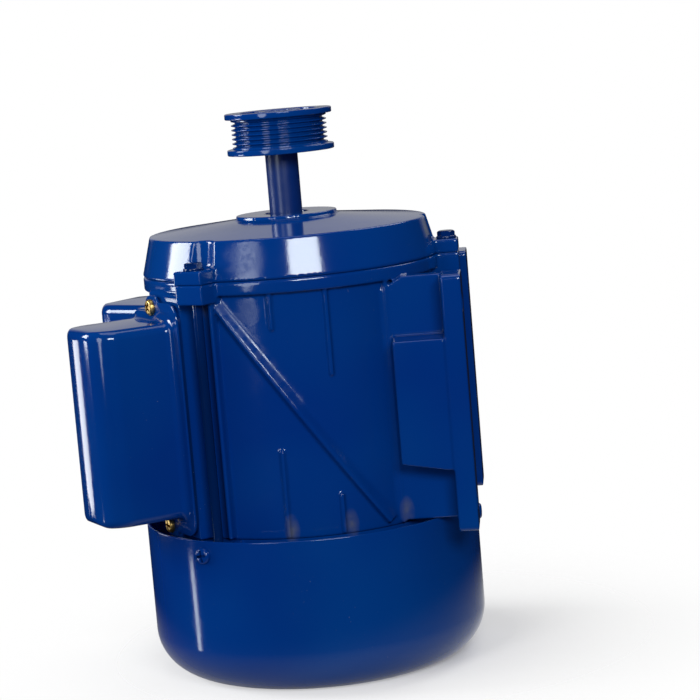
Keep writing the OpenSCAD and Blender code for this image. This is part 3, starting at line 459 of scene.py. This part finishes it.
class Nodes(Tree):
    """A new material and its node tree."""

    def __init__(self, name):
        self.material = bpy.data.materials.new(name)
        self.material.use_nodes = True
        super().__init__(self.material.node_tree, "Object")
        self.shader = self.tree.nodes["Principled BSDF"]

    def noise(self, scale, detail=3, roughness=0.5):
        node = self.add("ShaderNodeTexNoise")
        self.link(self.place, node.inputs["Vector"])
        node.inputs["Scale"].default_value = scale
        node.inputs["Detail"].default_value = detail
        node.inputs["Roughness"].default_value = roughness
        return node.outputs["Fac"]

    def distance(self, spot, squeeze=(1, 1, 1)):
        """Distance from a spot in the shared frame, with each axis squeezed by a factor."""
        squeezed = self.add("ShaderNodeVectorMath", operation="MULTIPLY")
        self.link(self.place, squeezed.inputs[0])
        squeezed.inputs[1].default_value = squeeze
        node = self.add("ShaderNodeVectorMath", operation="DISTANCE")
        self.link(squeezed.outputs["Vector"], node.inputs[0])
        node.inputs[1].default_value = Vector(spot) * Vector(squeeze)
        return node.outputs["Value"]

    def mix(self, share, first, second):
        """A colour between first and second; each is a colour or a socket."""
        node = self.add("ShaderNodeMix", data_type="RGBA")
        self.link(share, node.inputs["Factor"])
        for name, value in (("A", first), ("B", second)):
            self.feed(next(s for s in node.inputs if s.name == name and s.type == "RGBA"), value)
        return next(s for s in node.outputs if s.type == "RGBA")

    def bump(self, height, strength, distance, below=None):
        node = self.add("ShaderNodeBump")
        node.inputs["Strength"].default_value = strength
        node.inputs["Distance"].default_value = distance
        self.link(height, node.inputs["Height"])
        if below:
            self.link(below, node.inputs["Normal"])
        return node.outputs["Normal"]

    def set(self, **values):
        """Sets constants or links on the shader, with spaces written as underscores."""
        for key, value in values.items():
            self.feed(self.shader.inputs[key.replace("_", " ")], value)


# Colours of the paint; the deep and dark ones also serve as painted shade
ENAMEL = (0.0001, 0.028, 0.205)
ENAMEL_LIGHT = (0.0003, 0.052, 0.250)
# The deep enamel is the shaft's base and also the painted shade in hollows
ENAMEL_DEEP_AND_HOLLOW_SHADE = (0.0001, 0.010, 0.070)
# A darker copy of the enamel: painted shade for the bolts and gaskets in their grooves and gaps
ENAMEL_PAINTED_SHADE = (0.0001, 0.008, 0.045)
GLOSS_TINT = (0.88, 0.96, 1.0)
DUST = (0.30, 0.32, 0.34)

# Range of the paint's roughness, and its reliefs
GLOSS = (0.07, 0.13)
SATIN = (0.26, 0.38)
CASTING_RELIEF = 0.5 * MM
PEEL_RELIEF = 0.10 * MM

# Beige spots mixed into the paint's colour
BEIGE_SPOT_COLOUR = (0.16, 0.16, 0.11)
BEIGE_SPOTS = ((-40, -66, 198), (-3, -75, 84), (27, -70, 84), (54, -54, 86), (72, -14, 222))
BEIGE_SPOT_REACH = 4.5 * MM
BEIGE_SPOT_SQUEEZE = (1, 1, 0.5)

# Spots where the spray was dry: two patches, and a row along the diagonal rib's flank
DRY_PATCHES = ((Vector((-16, -73, 222)) * MM, 14 * MM), (Vector((-17, -72, 195)) * MM, 9 * MM))
DRY_FLANK = 6 * MM
DRY_FLANK_SPOTS = 9
DRY_FLANK_STEP = 0.05
DRY_FLANK_OFFSET = 3
DRY_FLANK_RISE = 1
DRY_CORE_SHARE = 0.4
DRY_ROUGH = 0.28

# Reliefs of the other materials, and how far their roughness spreads
METAL_RELIEF = 0.05 * MM
METAL_SPREAD = 0.15
MOULDED_RELIEF = 0.03 * MM
MOULDED_SPREAD = 0.2


def on_flank(share, offset, rise):
    """A point share along the near diagonal rib, offset to its upper side and over the barrel in mm."""
    high, low = Vector(DIAGONAL_START), Vector(DIAGONAL_END)
    across = (low - high).orthogonal().normalized()
    x, z = high.lerp(low, share) + across * offset * MM
    radius = BARREL_R + rise * MM
    return turned(DIAGONAL_TURN) @ Vector((x, -math.sqrt(radius * radius - x * x), z))


def dry_spots():
    """Every dry spot as (place, reach)."""
    spots = list(DRY_PATCHES)
    for step in range(1, DRY_FLANK_SPOTS + 1):
        spots.append((on_flank(DRY_FLANK_STEP * step, DRY_FLANK_OFFSET, DRY_FLANK_RISE), DRY_FLANK))
    return spots


def enamel(name, peel, texture, base=ENAMEL, light=ENAMEL_LIGHT, rough=GLOSS):
    """Thick gloss paint: peel is its orange-peel relief, texture that of the casting below. Painted shade
    darkens its hollows and a painted highlight lightens its crests.
    """
    n = Nodes(name)
    clouds = n.ramp(n.noise(9, 2), 0.35, 0.65, 0.0, 0.6)
    colour = n.mix(clouds, base, light)
    edges = n.add("ShaderNodeNewGeometry").outputs["Pointiness"]
    # Painted shade: hollows and creases are mixed toward the deep enamel
    painted_hollow_shade = n.ramp(edges, 0.49, 0.42)
    colour = n.mix(painted_hollow_shade, colour, ENAMEL_DEEP_AND_HOLLOW_SHADE)
    # Painted highlight: crests and convex edges are mixed toward the lighter enamel
    painted_crest_highlight = n.ramp(edges, 0.56, 0.66, 0.0, 0.4)
    colour = n.mix(painted_crest_highlight, colour, light)
    blotches = n.ramp(n.noise(160, 2), 0.30, 0.60, 0.2, 0.6)
    # Beige spots, broken up by blotches, mixed into the colour
    for spot in BEIGE_SPOTS:
        thin = n.ramp(n.distance(Vector(spot) * MM, BEIGE_SPOT_SQUEEZE), BEIGE_SPOT_REACH, 0)
        colour = n.mix(n.times(thin, blotches), colour, BEIGE_SPOT_COLOUR)
    specks = n.ramp(n.noise(1300, 1), 0.77, 0.80)
    dusty = n.ramp(n.noise(25, 2), 0.50, 0.65, 0.0, 0.4)
    colour = n.mix(n.times(specks, dusty), colour, DUST)
    dry = None
    for spot, reach in dry_spots():
        near = n.ramp(n.distance(spot), reach, DRY_CORE_SHARE * reach, 0, DRY_ROUGH)
        dry = n.math("MAXIMUM", dry, near) if dry else near
    mottle = n.ramp(n.noise(260, 3), 0.35, 0.65, 0.3, 1.0)
    smears = n.ramp(n.noise(40, 4, 0.6), 0.35, 0.70, *rough)
    matt = n.math("ADD", smears, n.times(dry, mottle))
    relief = n.bump(n.noise(70, 2), texture, CASTING_RELIEF)
    relief = n.bump(n.noise(620, 3, 0.6), peel, PEEL_RELIEF, relief)
    # Painted shade on the reflections: the specular level drops from 0.62 to 0.10 in hollows
    shine_with_painted_hollow_shade = n.ramp(edges, 0.44, 0.495, 0.10, 0.62)
    n.set(Base_Color=colour, Roughness=matt, Normal=relief)
    n.set(Specular_IOR_Level=shine_with_painted_hollow_shade, Specular_Tint=GLOSS_TINT)
    return n.material


def metal(name, colour, stain, roughness, grain):
    """Bare metal with stains in its colour and a fine grain."""
    n = Nodes(name)
    tint = n.mix(n.ramp(n.noise(120, 4), 0.35, 0.70), colour, stain)
    matt = n.ramp(n.noise(300, 3), 0.3, 0.7, roughness, roughness + METAL_SPREAD)
    relief = n.bump(n.noise(grain, 2), 0.12, METAL_RELIEF)
    n.set(Base_Color=tint, Metallic=1.0, Roughness=matt, Normal=relief)
    return n.material


def moulded(name, colour, pale, roughness):
    """Rubber or plastic with paler clouds and a fine grain."""
    n = Nodes(name)
    tint = n.mix(n.ramp(n.noise(35, 5, 0.65), 0.45, 0.75, 0.0, 0.5), colour, pale)
    matt = n.ramp(n.noise(160, 3), 0.3, 0.7, roughness, roughness + MOULDED_SPREAD)
    relief = n.bump(n.noise(1500, 1), 0.2, MOULDED_RELIEF)
    n.set(Base_Color=tint, Roughness=matt, Normal=relief)
    return n.material


cast_enamel = enamel("cast_enamel", peel=0.25, texture=0.12)
sheet_enamel = enamel("sheet_enamel", peel=0.15, texture=0.05)
# Painted shade: the same enamel made darker, for pieces that sit in shaded grooves and gaps
painted_shade_enamel = enamel("painted_shade_enamel", peel=0.20, texture=0.10, base=ENAMEL_PAINTED_SHADE, light=ENAMEL)
turned_enamel = enamel("turned_enamel", peel=0.30, texture=0.10, base=ENAMEL_DEEP_AND_HOLLOW_SHADE, light=ENAMEL, rough=SATIN)
yellow_zinc = metal("yellow_zinc", (0.70, 0.50, 0.17), (0.45, 0.30, 0.10), roughness=0.28, grain=1400)
bright_steel = metal("bright_steel", (0.62, 0.63, 0.64), (0.42, 0.43, 0.45), roughness=0.25, grain=900)
lamination = metal("lamination_steel", (0.22, 0.22, 0.23), (0.14, 0.13, 0.13), roughness=0.45, grain=700)
winding_copper = metal("winding_copper", (0.60, 0.26, 0.11), (0.36, 0.15, 0.07), roughness=0.35, grain=600)
cast_aluminium = metal("cast_aluminium", (0.70, 0.71, 0.72), (0.55, 0.56, 0.57), roughness=0.35, grain=500)
black_rubber = moulded("black_rubber", (0.012, 0.012, 0.013), (0.05, 0.05, 0.05), roughness=0.65)
black_plastic = moulded("black_plastic", (0.018, 0.018, 0.020), (0.06, 0.06, 0.06), roughness=0.42)

SLOT_MATERIALS = {
    "blue_enamel": cast_enamel,
    "yellow_zinc": yellow_zinc,
    "bearing_steel": bright_steel,
    "lamination": lamination,
    "copper_winding": winding_copper,
    "cast_aluminium": cast_aluminium,
    "black_rubber": black_rubber,
    "black_plastic": black_plastic,
}


def dress_frame():
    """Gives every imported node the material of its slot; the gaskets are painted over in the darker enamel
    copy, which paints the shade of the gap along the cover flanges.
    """
    for row in frame["record"]["subparts"]:
        coat(nodes[row["node"]], SLOT_MATERIALS[row["material_slot"]])
    for gasket in ("start_cover_gasket", "run_cover_gasket"):
        coat(nodes[gasket], painted_shade_enamel)


# Castings


def diagonal_flank():
    """Hollow slope from the near diagonal rib's crest down to the barrel above it."""
    shares = [step / DIAGONAL_STEPS for step in range(DIAGONAL_STEPS + 1)]
    return loft("flank", [[on_flank(share, offset, rise) for offset, rise in DIAGONAL_FLANK]
                          for share in shares])


def make_housing():
    """The housing's solid with true round walls over its facets, melted into a casting."""
    body = add_object("housing_source", nodes["housing"].data.copy())
    band_z = PARTING_Z - BAND_H
    chamfer_z = PARTING_Z - BAND_CHAMFER
    barrel = revolve("barrel", ring_profile(BORE_R, BARREL_R, HOUSING_Z, chamfer_z), CASTING_SEGMENTS)
    band_profile = [(BORE_R, band_z), (BAND_R, band_z), (BAND_R, chamfer_z),
                    (BAND_R - BAND_CHAMFER, PARTING_Z), (BORE_R, PARTING_Z)]
    band = revolve("band", band_profile, CASTING_SEGMENTS)
    housing = join("housing_casting", [body, barrel, band, diagonal_flank(), mirrored(diagonal_flank())])
    bm = bmesh.new()
    bm.from_mesh(housing.data)
    bmesh.ops.remove_doubles(bm, verts=bm.verts, dist=WELD_GAP)
    bm.to_mesh(housing.data)
    bm.free()
    cast(housing, HOUSING_VOXEL, HOUSING_KEEP)
    return finish_piece(housing, "stator", "blue_enamel", cast_enamel, "housing")


def make_drive_shield():
    """Skirt, crown and boss turned in one profile, with ears and scallops for the bolt heads."""
    skirt_top = PARTING_Z + SKIRT_H
    boss_z = skirt_top + CROWN_RISE
    bearing_top = BOSS_TOP_Z - LIP_T
    bearing_low = bearing_top - BEARING_W
    spigot_in = BORE_R - SPIGOT_T
    spigot_low = PARTING_Z - SPIGOT_H
    outside = [(BAND_R - BAND_CHAMFER, PARTING_Z), (BAND_R, PARTING_Z + BAND_CHAMFER),
               (SKIRT_TOP_R, skirt_top), (BOSS_R, boss_z), (BOSS_R, BOSS_TOP_Z)]
    bearing_seat = [(SHAFT_HOLE_R, BOSS_TOP_Z), (SHAFT_HOLE_R, bearing_top), (BEARING_R, bearing_top),
                    (BEARING_R, bearing_low), (BOSS_R, bearing_low)]
    inside = [(BOSS_R, boss_z - SHIELD_WALL), (SKIRT_TOP_R - SHIELD_WALL, skirt_top - SHIELD_WALL),
              (spigot_in, PARTING_Z + SPIGOT_RISE), (spigot_in, spigot_low), (BORE_R, spigot_low),
              (BORE_R, PARTING_Z)]
    shield = revolve("shield", outside + bearing_seat + inside, CASTING_SEGMENTS)
    ear_top = PARTING_Z + EAR_H
    pocket_top = skirt_top + EAR_H
    pocket_profile = [(0, ear_top), (HEAD_POCKET_R, ear_top), (HEAD_POCKET_TOP_R, skirt_top),
                      (HEAD_POCKET_TOP_R, pocket_top), (0, pocket_top)]
    ears = []
    for turn in BOLT_TURNS:
        carve(shield, placed(revolve("pocket", pocket_profile, POCKET_SEGMENTS), at_bolt(turn)))
        ear = block("ear", (BARREL_R - EAR_ROOT, -EAR_W / 2, PARTING_Z), (EAR_REACH, EAR_W / 2, ear_top))
        ears.append(placed(ear, turned(turn)))
    shield = join("drive_shield_casting", [shield] + ears)
    cast(shield, SHIELD_VOXEL, SHIELD_KEEP)
    return finish_piece(shield, "stator", "blue_enamel", cast_enamel, "drive_end_shield")


# Sheet metal


def make_fan_cover():
    """Drawn cup with a rolled rim and a ring of air slots in its bottom."""
    inner = FAN_COVER_R - SHEET_T
    cup = [(0, 0, 0), (FAN_COVER_R, 0, FAN_COVER_CORNER), (FAN_COVER_R, FAN_COVER_H, FAN_COVER_RIM),
           (inner, FAN_COVER_H, FAN_COVER_RIM), (inner, SHEET_T, FAN_COVER_CORNER - SHEET_T), (0, SHEET_T, 0)]
    cover = revolve("fan_cover_cup", rounded(cup, FAN_COVER_STEPS), FAN_COVER_SEGMENTS)
    half = AIR_SLOT_W / 2
    corner = AIR_SLOT_ROUND_SHARE * half
    start = AIR_SLOT_IN - half
    end = AIR_SLOT_OUT + half
    slot = rounded([(start, -half, corner), (end, -half, corner), (end, half, corner), (start, half, corner)])
    slots = [placed(prism("slot", slot, -SHEET_T, 2 * SHEET_T), turned(index * 360 / AIR_SLOTS))
             for index in range(AIR_SLOTS)]
    carve(cover, join("slots", slots))
    shade(cover)
    return finish_piece(cover, "stator", "blue_enamel", sheet_enamel, "fan_cover")


def cover_ring(half_w, half_l, corner):
    """Points of a rounded rectangle, across the cover and along the shaft."""
    return rounded([(half_w, -half_l, corner), (half_w, half_l, corner),
                    (-half_w, half_l, corner), (-half_w, -half_l, corner)], PRESSED_STEPS)


def flared_ring(out):
    return cover_ring(COVER_HALF_W + out, COVER_HALF_L + out, COVER_EDGE + out)


def cover_section():
    """Half of the hump's section over its flare: a rounded side and a domed face, as (half width, height)."""
    side_turn = math.pi / 2 - COVER_DOME_TURN
    side_r = (COVER_HALF_W - COVER_DOME_HALF_W) / (1 - math.cos(side_turn))
    dome_r = COVER_DOME_HALF_W / math.sin(COVER_DOME_TURN)
    dome_z = COVER_H - dome_r
    side_z = dome_z + dome_r * math.cos(COVER_DOME_TURN) - side_r * math.sin(side_turn)
    section = []
    for step in range(COVER_SIDE_STEPS + 1):
        turn = side_turn * step / COVER_SIDE_STEPS
        section.append((COVER_HALF_W - side_r * (1 - math.cos(turn)), side_z + side_r * math.sin(turn)))
    for step in range(1, COVER_DOME_STEPS):
        turn = COVER_DOME_TURN * (1 - step / COVER_DOME_STEPS)
        section.append((dome_r * math.sin(turn), dome_z + dome_r * math.cos(turn)))
    return section


def cover_levels():
    """Rings of the pressed hump from inside the flange to the crown, as (height, outline)."""
    levels = [(COVER_ROOT_Z, flared_ring(COVER_FLARE))]
    for step in range(COVER_FLARE_STEPS + 1):
        turn = math.pi / 2 * step / COVER_FLARE_STEPS
        height = COVER_FOOT_Z + COVER_FLARE * (1 - math.cos(turn))
        levels.append((height, flared_ring(COVER_FLARE * (1 - math.sin(turn)))))
    for half_w, height in cover_section():
        over = max(0, height - (COVER_H - COVER_EDGE)) / COVER_EDGE
        drop = COVER_EDGE * (1 - math.sqrt(max(0, 1 - over * over)))
        corner = min(max(COVER_EDGE - drop, COVER_LEAST_CORNER), COVER_CORNER_SHARE * half_w)
        levels.append((height, cover_ring(half_w, COVER_HALF_L - drop, corner)))
    return levels


def flange_plate():
    """Flat flange with a rounded edge: a long strip on the outer side and an ear for a screw at each end."""
    half = [(-FLANGE_IN_W, FLANGE_IN_L, FLANGE_CORNER), (-FLANGE_EAR_W, FLANGE_IN_L, FLANGE_EAR_ROOT),
            (-FLANGE_EAR_W, FLANGE_EAR_L, FLANGE_EAR_CORNER),
            (FLANGE_EAR_OUT_W, FLANGE_EAR_L, FLANGE_EAR_OUT_CORNER),
            (FLANGE_STEP_W, FLANGE_HALF_L, FLANGE_STEP_CORNER), (FLANGE_HALF_W, FLANGE_HALF_L, FLANGE_CORNER)]
    other_half = [(across, -along, radius) for across, along, radius in reversed(half)]
    plate = prism("flange", rounded(half + other_half, PRESSED_STEPS), 0, SHEET_T)
    bm = bmesh.new()
    bm.from_mesh(plate.data)
    rims = [edge for edge in bm.edges if abs(edge.verts[0].co.z - edge.verts[1].co.z) < 0.1 * SHEET_T]
    bmesh.ops.bevel(bm, geom=rims, offset=FLANGE_EDGE, segments=2, affect="EDGES", profile=0.5)
    bm.to_mesh(plate.data)
    bm.free()
    return placed(plate, Matrix(((0, 0, 1, 0), (1, 0, 0, 0), (0, 1, 0, 0), (0, 0, 0, 1))))


def make_capacitor_cover(name, side, node):
    """Pressed cover: a hump with a flared root on a flat flange, mirrored for the other side."""
    cover = loft(name, [[(height, across, along) for across, along in outline]
                        for height, outline in cover_levels()])
    carve(cover, flange_plate(), "UNION")
    if side < 0:
        mirrored(cover)
    placed(cover, at_cover(side, FLANGE_X, COVER_MID_Z))
    shade(cover)
    return finish_piece(cover, "stator", "blue_enamel", sheet_enamel, node)


# Fasteners


def make_through_bolts():
    """Three long bolts with flanged hexagon heads whose corners are turned down."""
    seat = PARTING_Z + EAR_H
    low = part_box("through_bolts")[0].z
    top = seat + HEAD_H
    corner_r = HEAD_AF / math.sqrt(3)
    around_r = corner_r + MM
    turns = [math.radians(60 * side) for side in range(6)]
    hexagon = [(corner_r * math.cos(turn), corner_r * math.sin(turn)) for turn in turns]
    dome_profile = rounded([(0, seat - MM, 0), (around_r, seat - MM, 0), (around_r, top - HEAD_ROUND, 0),
                            (HEAD_FACE_SHARE * corner_r, top, HEAD_ROUND), (0, top, 0)])
    collar_profile = rounded([(0, seat, 0), (HEAD_COLLAR_R, seat, HEAD_COLLAR_FOOT),
                              (HEAD_COLLAR_R, seat + HEAD_COLLAR_H, HEAD_COLLAR_ROUND),
                              (0, seat + HEAD_COLLAR_H + HEAD_COLLAR_RISE, 0)])
    parts = []
    for turn in BOLT_TURNS:
        head = prism("head", hexagon, seat, top)
        carve(head, revolve("dome", dome_profile, BOLT_HEAD_SEGMENTS), "INTERSECT")
        collar = revolve("collar", collar_profile, BOLT_HEAD_SEGMENTS)
        shank = revolve("shank", ring_profile(0, BOLT_R, low, seat), BOLT_SEGMENTS)
        parts.append(placed(join("bolt", [head, collar, shank]), at_bolt(turn)))
    bolts = shade(join("through_bolt_set", parts))
    # The bolts take the darker enamel copy: painted shade of the pockets and groove they sit in
    return finish_piece(bolts, "stator", "blue_enamel", painted_shade_enamel, "through_bolts")


def pan_screw(length, twist):
    """Pan head with a cross recess, its seat at the origin and its head along +X, twisted about it."""
    dome = [(0, 0, 0), (SCREW_HEAD_R, 0, SCREW_HEAD_FOOT),
            (SCREW_HEAD_R, SCREW_HEAD_SIDE_H, SCREW_HEAD_ROUND), (0, SCREW_HEAD_H, 0)]
    head = revolve("head", rounded(dome, SCREW_HEAD_STEPS), SCREW_HEAD_SEGMENTS)
    for half_x, half_y in ((CROSS_HALF_L, CROSS_HALF_W), (CROSS_HALF_W, CROSS_HALF_L)):
        carve(head, block("bar", (-half_x, -half_y, CROSS_FLOOR), (half_x, half_y, 2 * SCREW_HEAD_H)))
    shank = revolve("shank", ring_profile(0, SCREW_R, -length, 0), SCREW_SEGMENTS)
    screw = placed(join("screw", [head, shank]), turned(90, "Y"))
    return placed(screw, turned(twist, "X"))


def make_fan_cover_screws():
    parts = []
    for turn in BOLT_TURNS:
        screw = pan_screw(FAN_COVER_SCREW_LEN, turn / 3 + FAN_COVER_SCREW_TWIST)
        place = Matrix.Translation((FAN_COVER_R, 0, COVER_SCREW_Z))
        parts.append(placed(screw, turned(turn - COVER_SCREW_OFFSET) @ place))
    screws = shade(join("fan_cover_screw_set", parts))
    return finish_piece(screws, "stator", "blue_enamel", sheet_enamel, "fan_cover_screws")


def make_capacitor_cover_screws():
    parts = []
    for side in (-1, 1):
        for end in (-1, 1):
            twist = CAPACITOR_COVER_SCREW_TWIST + CAPACITOR_COVER_SCREW_SPREAD * end * side
            screw = pan_screw(CAPACITOR_COVER_SCREW_LEN, twist)
            height = COVER_MID_Z + end * COVER_SCREW_HALF_SPAN
            parts.append(placed(screw, at_cover(side, FLANGE_X + SHEET_T, height)))
    screws = shade(join("capacitor_cover_screw_set", parts))
    return finish_piece(screws, "stator", "yellow_zinc", yellow_zinc, "capacitor_cover_screws")


# Shaft and pulley


def make_shaft():
    """The shaft's solid, with a finer sleeve where it shows."""
    solid = add_object("shaft_turned", nodes["shaft"].data.copy())
    sleeve = revolve("sleeve", ring_profile(0, SHAFT_R, PARTING_Z + SKIRT_H, PULLEY_Z), SHAFT_SEGMENTS)
    shaft = shade(join("shaft_turned", [solid, sleeve]))
    return finish_piece(shaft, "rotor", "blue_enamel", turned_enamel, "shaft")


def make_pulley():
    """Two flanges round a ribbed belt seat, with a recess in each face."""
    low = PULLEY_Z
    top = PULLEY_TOP_Z
    middle = (low + top) / 2
    belt_low = low + PULLEY_FLANGE_T
    belt_top = top - PULLEY_FLANGE_T
    groove_r = BELT_SEAT_R - GROOVE_DEPTH
    seat = []
    for groove in range(GROOVES):
        centre = middle + (groove - (GROOVES - 1) / 2) * GROOVE_PITCH
        seat.append((BELT_SEAT_R, centre - GROOVE_PITCH / 2 + GROOVE_TIP, GROOVE_EDGE))
        seat.append((groove_r, centre - GROOVE_TIP, GROOVE_EDGE))
        seat.append((groove_r, centre + GROOVE_TIP, GROOVE_EDGE))
        seat.append((BELT_SEAT_R, centre + GROOVE_PITCH / 2 - GROOVE_TIP, GROOVE_EDGE))
    low_side = [(SHAFT_END_R, low, PULLEY_BORE_EDGE), (RECESS_IN_R, low, PULLEY_EDGE),
                (RECESS_IN_R, low + RECESS_D, RECESS_ROUND), (RECESS_OUT_R, low + RECESS_D, RECESS_ROUND),
                (RECESS_OUT_R, low, PULLEY_EDGE), (PULLEY_R, low, PULLEY_EDGE),
                (PULLEY_R, belt_low, PULLEY_EDGE), (BELT_SEAT_R, belt_low, PULLEY_EDGE)]
    top_side = [(BELT_SEAT_R, belt_top, PULLEY_EDGE), (PULLEY_R, belt_top, PULLEY_EDGE),
                (PULLEY_R, top, PULLEY_EDGE), (RECESS_OUT_R, top, PULLEY_EDGE),
                (RECESS_OUT_R, top - RECESS_D, RECESS_ROUND), (RECESS_IN_R, top - RECESS_D, RECESS_ROUND),
                (RECESS_IN_R, top, PULLEY_EDGE), (SHAFT_END_R, top, PULLEY_BORE_EDGE)]
    profile = rounded(low_side + seat + top_side, PULLEY_STEPS)
    pulley = revolve("pulley_turned", profile, PULLEY_SEGMENTS)
    key_low, key_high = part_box("pulley_key")
    carve(pulley, block("keyway", (0, key_low.y, low - MM), (key_high.x, key_high.y, top + MM)))
    screw_low, screw_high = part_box("pulley_set_screw")
    tapped_r = (screw_high.x - screw_low.x) / 2
    hole = revolve("hole", ring_profile(0, tapped_r, 0, PULLEY_R + MM), SET_SCREW_SEGMENTS)
    carve(pulley, placed(hole, Matrix.Translation((0, 0, middle)) @ turned(-90, "X")))
    shade(pulley)
    return finish_piece(pulley, "rotor", "blue_enamel", sheet_enamel, "pulley")


# Camera
CAMERA_LENS = 123.43
CAMERA_SENSOR = 36
CAMERA_CLIP = 0.05
CAMERA_DISTANCE = 1.2619
CAMERA_TARGET = Vector((0, 0, 0.160))
CAMERA_AZIMUTH = math.radians(6.0)
CAMERA_ELEVATION = math.radians(7.8)
CAMERA_ROLL = math.radians(-4.95)
CAMERA_SHIFT = (0.073, 0.012)

# Stage
FLOOR_R = 0.25
FLOOR_CENTRE = Vector((0.03, 0.03, 0))
FLOOR_SOLID_R = 0.07
FLOOR_FADE_R = 0.95 * FLOOR_R
FLOOR_GLOW = 0.22
FLOOR_PALE = (0.76, 0.76, 0.76)
FLOOR_PALER = (0.78, 0.78, 0.78)
FLOOR_ROUGH = 0.9

# Surroundings; the wall and the horizon are ranges of a direction's Y and Z
ROOM_GLOW = 0.006
WALL_GLOW = 0.45
WALL_BLEND = (0.80, 0.93)
HORIZON_BLEND = (0.0, 0.06)
AMBIENT = 0.15
LAMP_REACH = 1.5
LAMP_AIM = (0, 0, 0.15)


def facing(away):
    """Turns a camera or lamp so that its back looks along away."""
    return away.to_track_quat("Z", "Y").to_matrix().to_4x4()


def make_camera():
    data = bpy.data.cameras.new("camera")
    data.lens = CAMERA_LENS
    data.sensor_width = CAMERA_SENSOR
    data.shift_x, data.shift_y = CAMERA_SHIFT
    data.clip_start = CAMERA_CLIP
    camera = add_object("camera", data)
    level = math.cos(CAMERA_ELEVATION)
    away = Vector((level * math.sin(CAMERA_AZIMUTH), -level * math.cos(CAMERA_AZIMUTH),
                   math.sin(CAMERA_ELEVATION)))
    turn = facing(away) @ Matrix.Rotation(CAMERA_ROLL, 4, "Z")
    camera.matrix_world = Matrix.Translation(CAMERA_TARGET + away * CAMERA_DISTANCE) @ turn
    bpy.context.scene.camera = camera


def stage_material():
    """Pale floor that keeps shadows and fades into the white background at its rim."""
    n = Nodes("stage_pale")
    colour = n.mix(n.ramp(n.noise(6, 2), 0.3, 0.7), FLOOR_PALE, FLOOR_PALER)
    path = n.add("ShaderNodeLightPath").outputs
    seen = n.math("MAXIMUM", path["Is Camera Ray"], path["Is Glossy Ray"])
    glow = n.ramp(seen, 0, 1, 0, FLOOR_GLOW)
    away = n.add("ShaderNodeVectorMath", operation="LENGTH")
    n.link(n.place, away.inputs[0])
    fade = n.ramp(away.outputs["Value"], FLOOR_SOLID_R, FLOOR_FADE_R, 1.0, 0.0)
    n.set(Base_Color=colour, Roughness=FLOOR_ROUGH, Emission_Color=(1.0, 1.0, 1.0), Emission_Strength=glow,
          Alpha=n.times(fade, fade))
    return n.material


def make_stage():
    bm = bmesh.new()
    bmesh.ops.create_circle(bm, cap_ends=True, segments=FLOOR_SEGMENTS, radius=FLOOR_R)
    floor = object_from("stage_floor", bm)
    floor.location = FLOOR_CENTRE
    floor.data.materials.append(stage_material())


def add_area(name, place, aim, size, glow, shape="RECTANGLE"):
    """A lamp whose glow is about the brightness of its face."""
    data = bpy.data.lights.new(name, "AREA")
    data.shape = shape
    data.size, data.size_y = size
    data.energy = glow * math.pi * size[0] * size[1]
    lamp = add_object(name, data)
    lamp.matrix_world = Matrix.Translation(place) @ facing(Vector(place) - Vector(aim))


def add_strip(name, turn, low, high, width, glow, reach=LAMP_REACH, shape="RECTANGLE"):
    """An upright strip lamp, turned from the camera's side about the shaft, facing it level."""
    angle = CAMERA_AZIMUTH - math.pi / 2 + math.radians(turn)
    middle = (low + high) / 2
    place = (reach * math.cos(angle), reach * math.sin(angle), middle)
    add_area(name, place, (0, 0, middle), (width, high - low), glow, shape)


def make_lamps():
    """Upright soft boxes on the camera's side, a rim lamp, and soft light from above and behind."""
    add_strip("key_left", turn=-99, low=0.42, high=1.15, width=0.60, glow=13)
    add_strip("band_left", turn=-97, low=0.03, high=0.10, width=0.40, glow=12)
    add_strip("key_front", turn=-34, low=0.04, high=1.1, width=0.50, glow=3.4, shape="ELLIPSE")
    add_strip("key_right", turn=11, low=0.58, high=1.02, width=0.66, glow=17)
    add_strip("streak_left", turn=-92, low=-0.34, high=-0.16, width=0.07, glow=6, reach=1.2)
    add_area("rim_left", (-0.525, 0.206, 0.075), (-0.105, -0.066, 0.14), size=(0.12, 0.15), glow=5)
    add_area("top_soft", (0, 0, 1.5), LAMP_AIM, size=(0.8, 0.8), glow=1.5)
    add_area("fill_back", (0.75, 0.65, 1.3), LAMP_AIM, size=(0.8, 0.8), glow=3)


def make_world():
    """White to the camera; reflections see a pale wall behind the object and a dim room before it."""
    world = bpy.data.worlds.new("studio")
    world.use_nodes = True
    world.cycles.sampling_method = "NONE"
    bpy.context.scene.world = world
    w = Tree(world.node_tree, "Generated")
    split = w.add("ShaderNodeSeparateXYZ")
    w.link(w.place, split.inputs[0])
    path = w.add("ShaderNodeLightPath").outputs
    behind = w.ramp(split.outputs["Y"], *WALL_BLEND, 0.0, WALL_GLOW)
    above = w.ramp(split.outputs["Z"], *HORIZON_BLEND, 0.0, 1.0)
    room = w.math("ADD", w.times(behind, above), ROOM_GLOW)
    glossy = w.math("MAXIMUM", path["Is Glossy Ray"], path["Is Transmission Ray"])
    seen = w.math("MAXIMUM", glossy, path["Is Camera Ray"])
    others = w.ramp(seen, 0, 1, AMBIENT, 0)
    glow = w.math("ADD", w.times(glossy, room), others)
    back = w.tree.nodes["Background"]
    w.feed(back.inputs["Color"], (1, 1, 1))
    w.feed(back.inputs["Strength"], w.math("ADD", glow, path["Is Camera Ray"]))


bpy.context.scene.view_settings.view_transform = "Standard"
make_camera()
make_stage()
make_lamps()
make_world()
dress_frame()
make_housing()
make_drive_shield()
make_fan_cover()
make_capacitor_cover("start_cover_pressing", 1, "start_capacitor_cover")
make_capacitor_cover("run_cover_pressing", -1, "run_capacitor_cover")
make_through_bolts()
make_fan_cover_screws()
make_capacitor_cover_screws()
make_shaft()
make_pulley()
